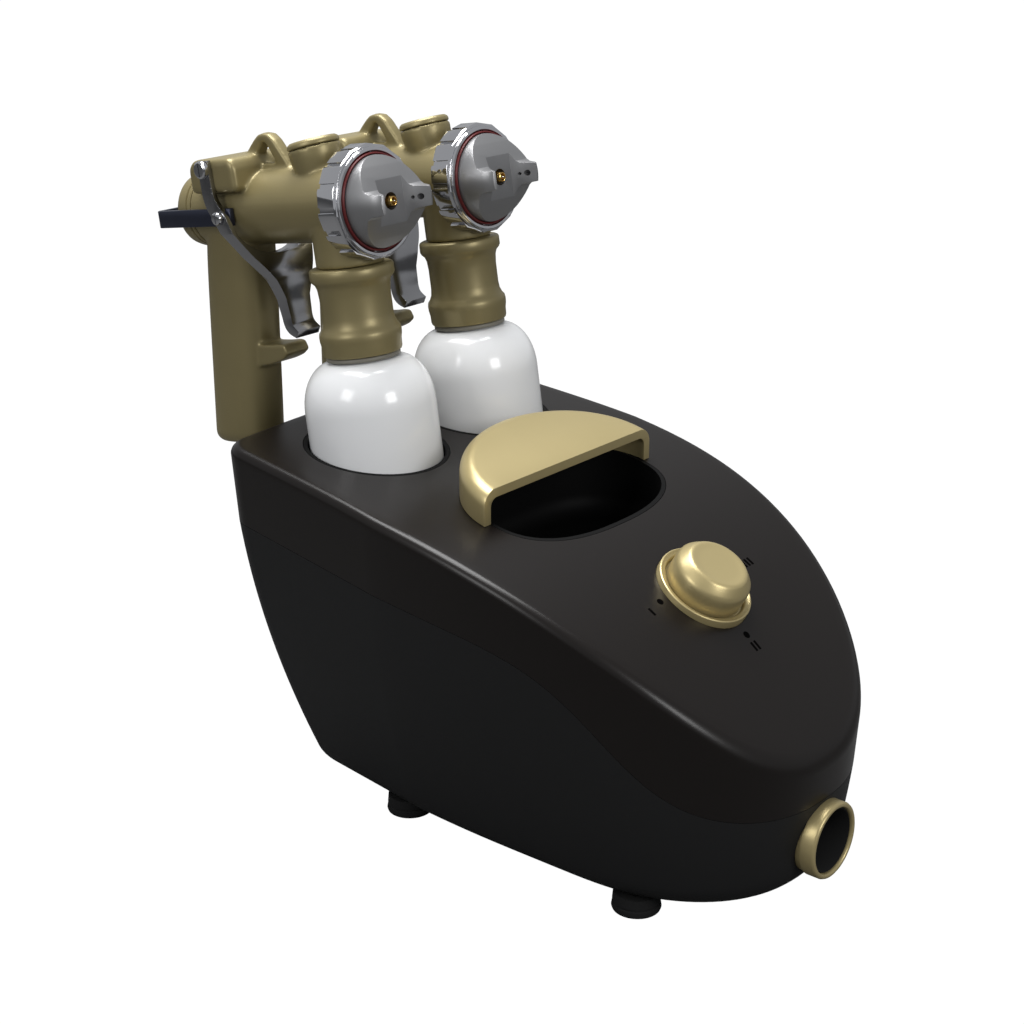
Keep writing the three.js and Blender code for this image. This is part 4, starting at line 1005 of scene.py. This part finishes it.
# ---- Yoke ----
# A dark strap of blued steel bent round the back of the gun. The trigger's link screws pull it back,
# and it draws the needle with it.
blued_steel = surface("blued_steel", (0.045, 0.05, 0.075), 0.3, metallic=0.8, mottle=0.1, patch=60,
                      grain=500, relief=0.01, stretch=(1, 1, 6))
strap_front = 57.7
strap_low = -6.5
strap_high = 2.3
strap_outer = []
strap_inner = []
for step in range(9):
    turn = step / 8 * math.pi / 2
    strap_outer.append((22.4 - 4 * (1 - math.cos(turn)), 112 + 4 * math.sin(turn)))
    strap_inner.append((19.4 - 1.5 * (1 - math.cos(turn)), 111.5 + 1.5 * math.sin(turn)))
half_strap = [(22.4, strap_front), *strap_outer]
strap_plan = half_strap + [(-x, back) for x, back in half_strap[::-1]]
half_inside = [(19.4, strap_front), *strap_inner]
strap_plan += [(-x, back) for x, back in half_inside] + half_inside[::-1]
strap = skinned([[(across * mm, back * mm, up * mm) for across, back in strap_plan]
                 for up in (strap_low, strap_high)], filled=True)
rounded(strap, 0.4, segments=2, angle=40)
onto_guns(strap, "yoke_strap", blued_steel, "needle", "dark_steel", "yoke", angle=30)

# ---- Lid, gasket and bottle ----
# The gold lid screws under the gun's neck: a wide top flange, a straight skirt and a bulged ring at
# its foot, with a grey gasket under it. The glossy white bottle has full round shoulders.
white_plastic = surface("white_plastic", (0.74, 0.745, 0.75), 0.16, mottle=0.01, patch=10, spread=0.03,
                        grain=700, relief=0.004)
gasket_grey = surface("gasket_grey", (0.17, 0.16, 0.13), 0.5, mottle=0.06, relief=0.02)
lid = turned([[16.3, -74], [16.3, -37], [3.4, -37], [3.4, -30.3], [19.6, -30.3], [20.6, -30.8],
              [21, -31.6], [21, -35.6], [20.4, -36.8], [19, -38.2], [18.2, -40.5], [17.8, -45],
              [17.8, -55], [18.2, -58.5], [19.2, -60.8], [20.3, -62.2], [20.6, -64], [20.5, -66.4],
              [20, -69], [19.9, -72.6], [19.5, -73.7], [18.8, -74]], steps=96, bored=True)
onto_guns(lid, "screw_lid", gun_gold, "gun", "gun_gold", "cup_lid", angle=45)
gasket = turned([[16.3, -76.4], [18.2, -76.4], [18.6, -76], [18.6, -74.8], [18.2, -74.3], [16.3, -74.3]],
                steps=64, bored=True)
onto_guns(gasket, "flat_gasket", gasket_grey, "gun", "grey_rubber", "lid_gasket", angle=45)

shoulder_run = 16
shoulder_drop = 24
bottle_profile = [[25, -154], [29, -153.7], [31.4, -152.5], [32.6, -150.4], [33, -148]]
for step in range(13):
    turn = (1 - step / 12) * math.pi / 2
    bottle_profile.append([17 + shoulder_run * math.sin(turn), -77 - shoulder_drop * (1 - math.cos(turn))])
bottle_profile += [[16.2, -76.8], [16, -76], [16, -38.6], [15.6, -38.3], [14.7, -38.3], [14.4, -38.6],
                   [14.4, -77.5]]
for step in range(12, -1, -1):
    turn = (1 - step / 12) * math.pi / 2
    bottle_profile.append([15.4 + shoulder_run * math.sin(turn),
                           -78.6 - shoulder_drop * (1 - math.cos(turn))])
bottle_profile += [[31.4, -148], [29, -152.4]]
bottle = turned(bottle_profile, steps=128)
onto_guns(bottle, "paint_bottle", white_plastic, "cup", "white_plastic", "cup", angle=50)
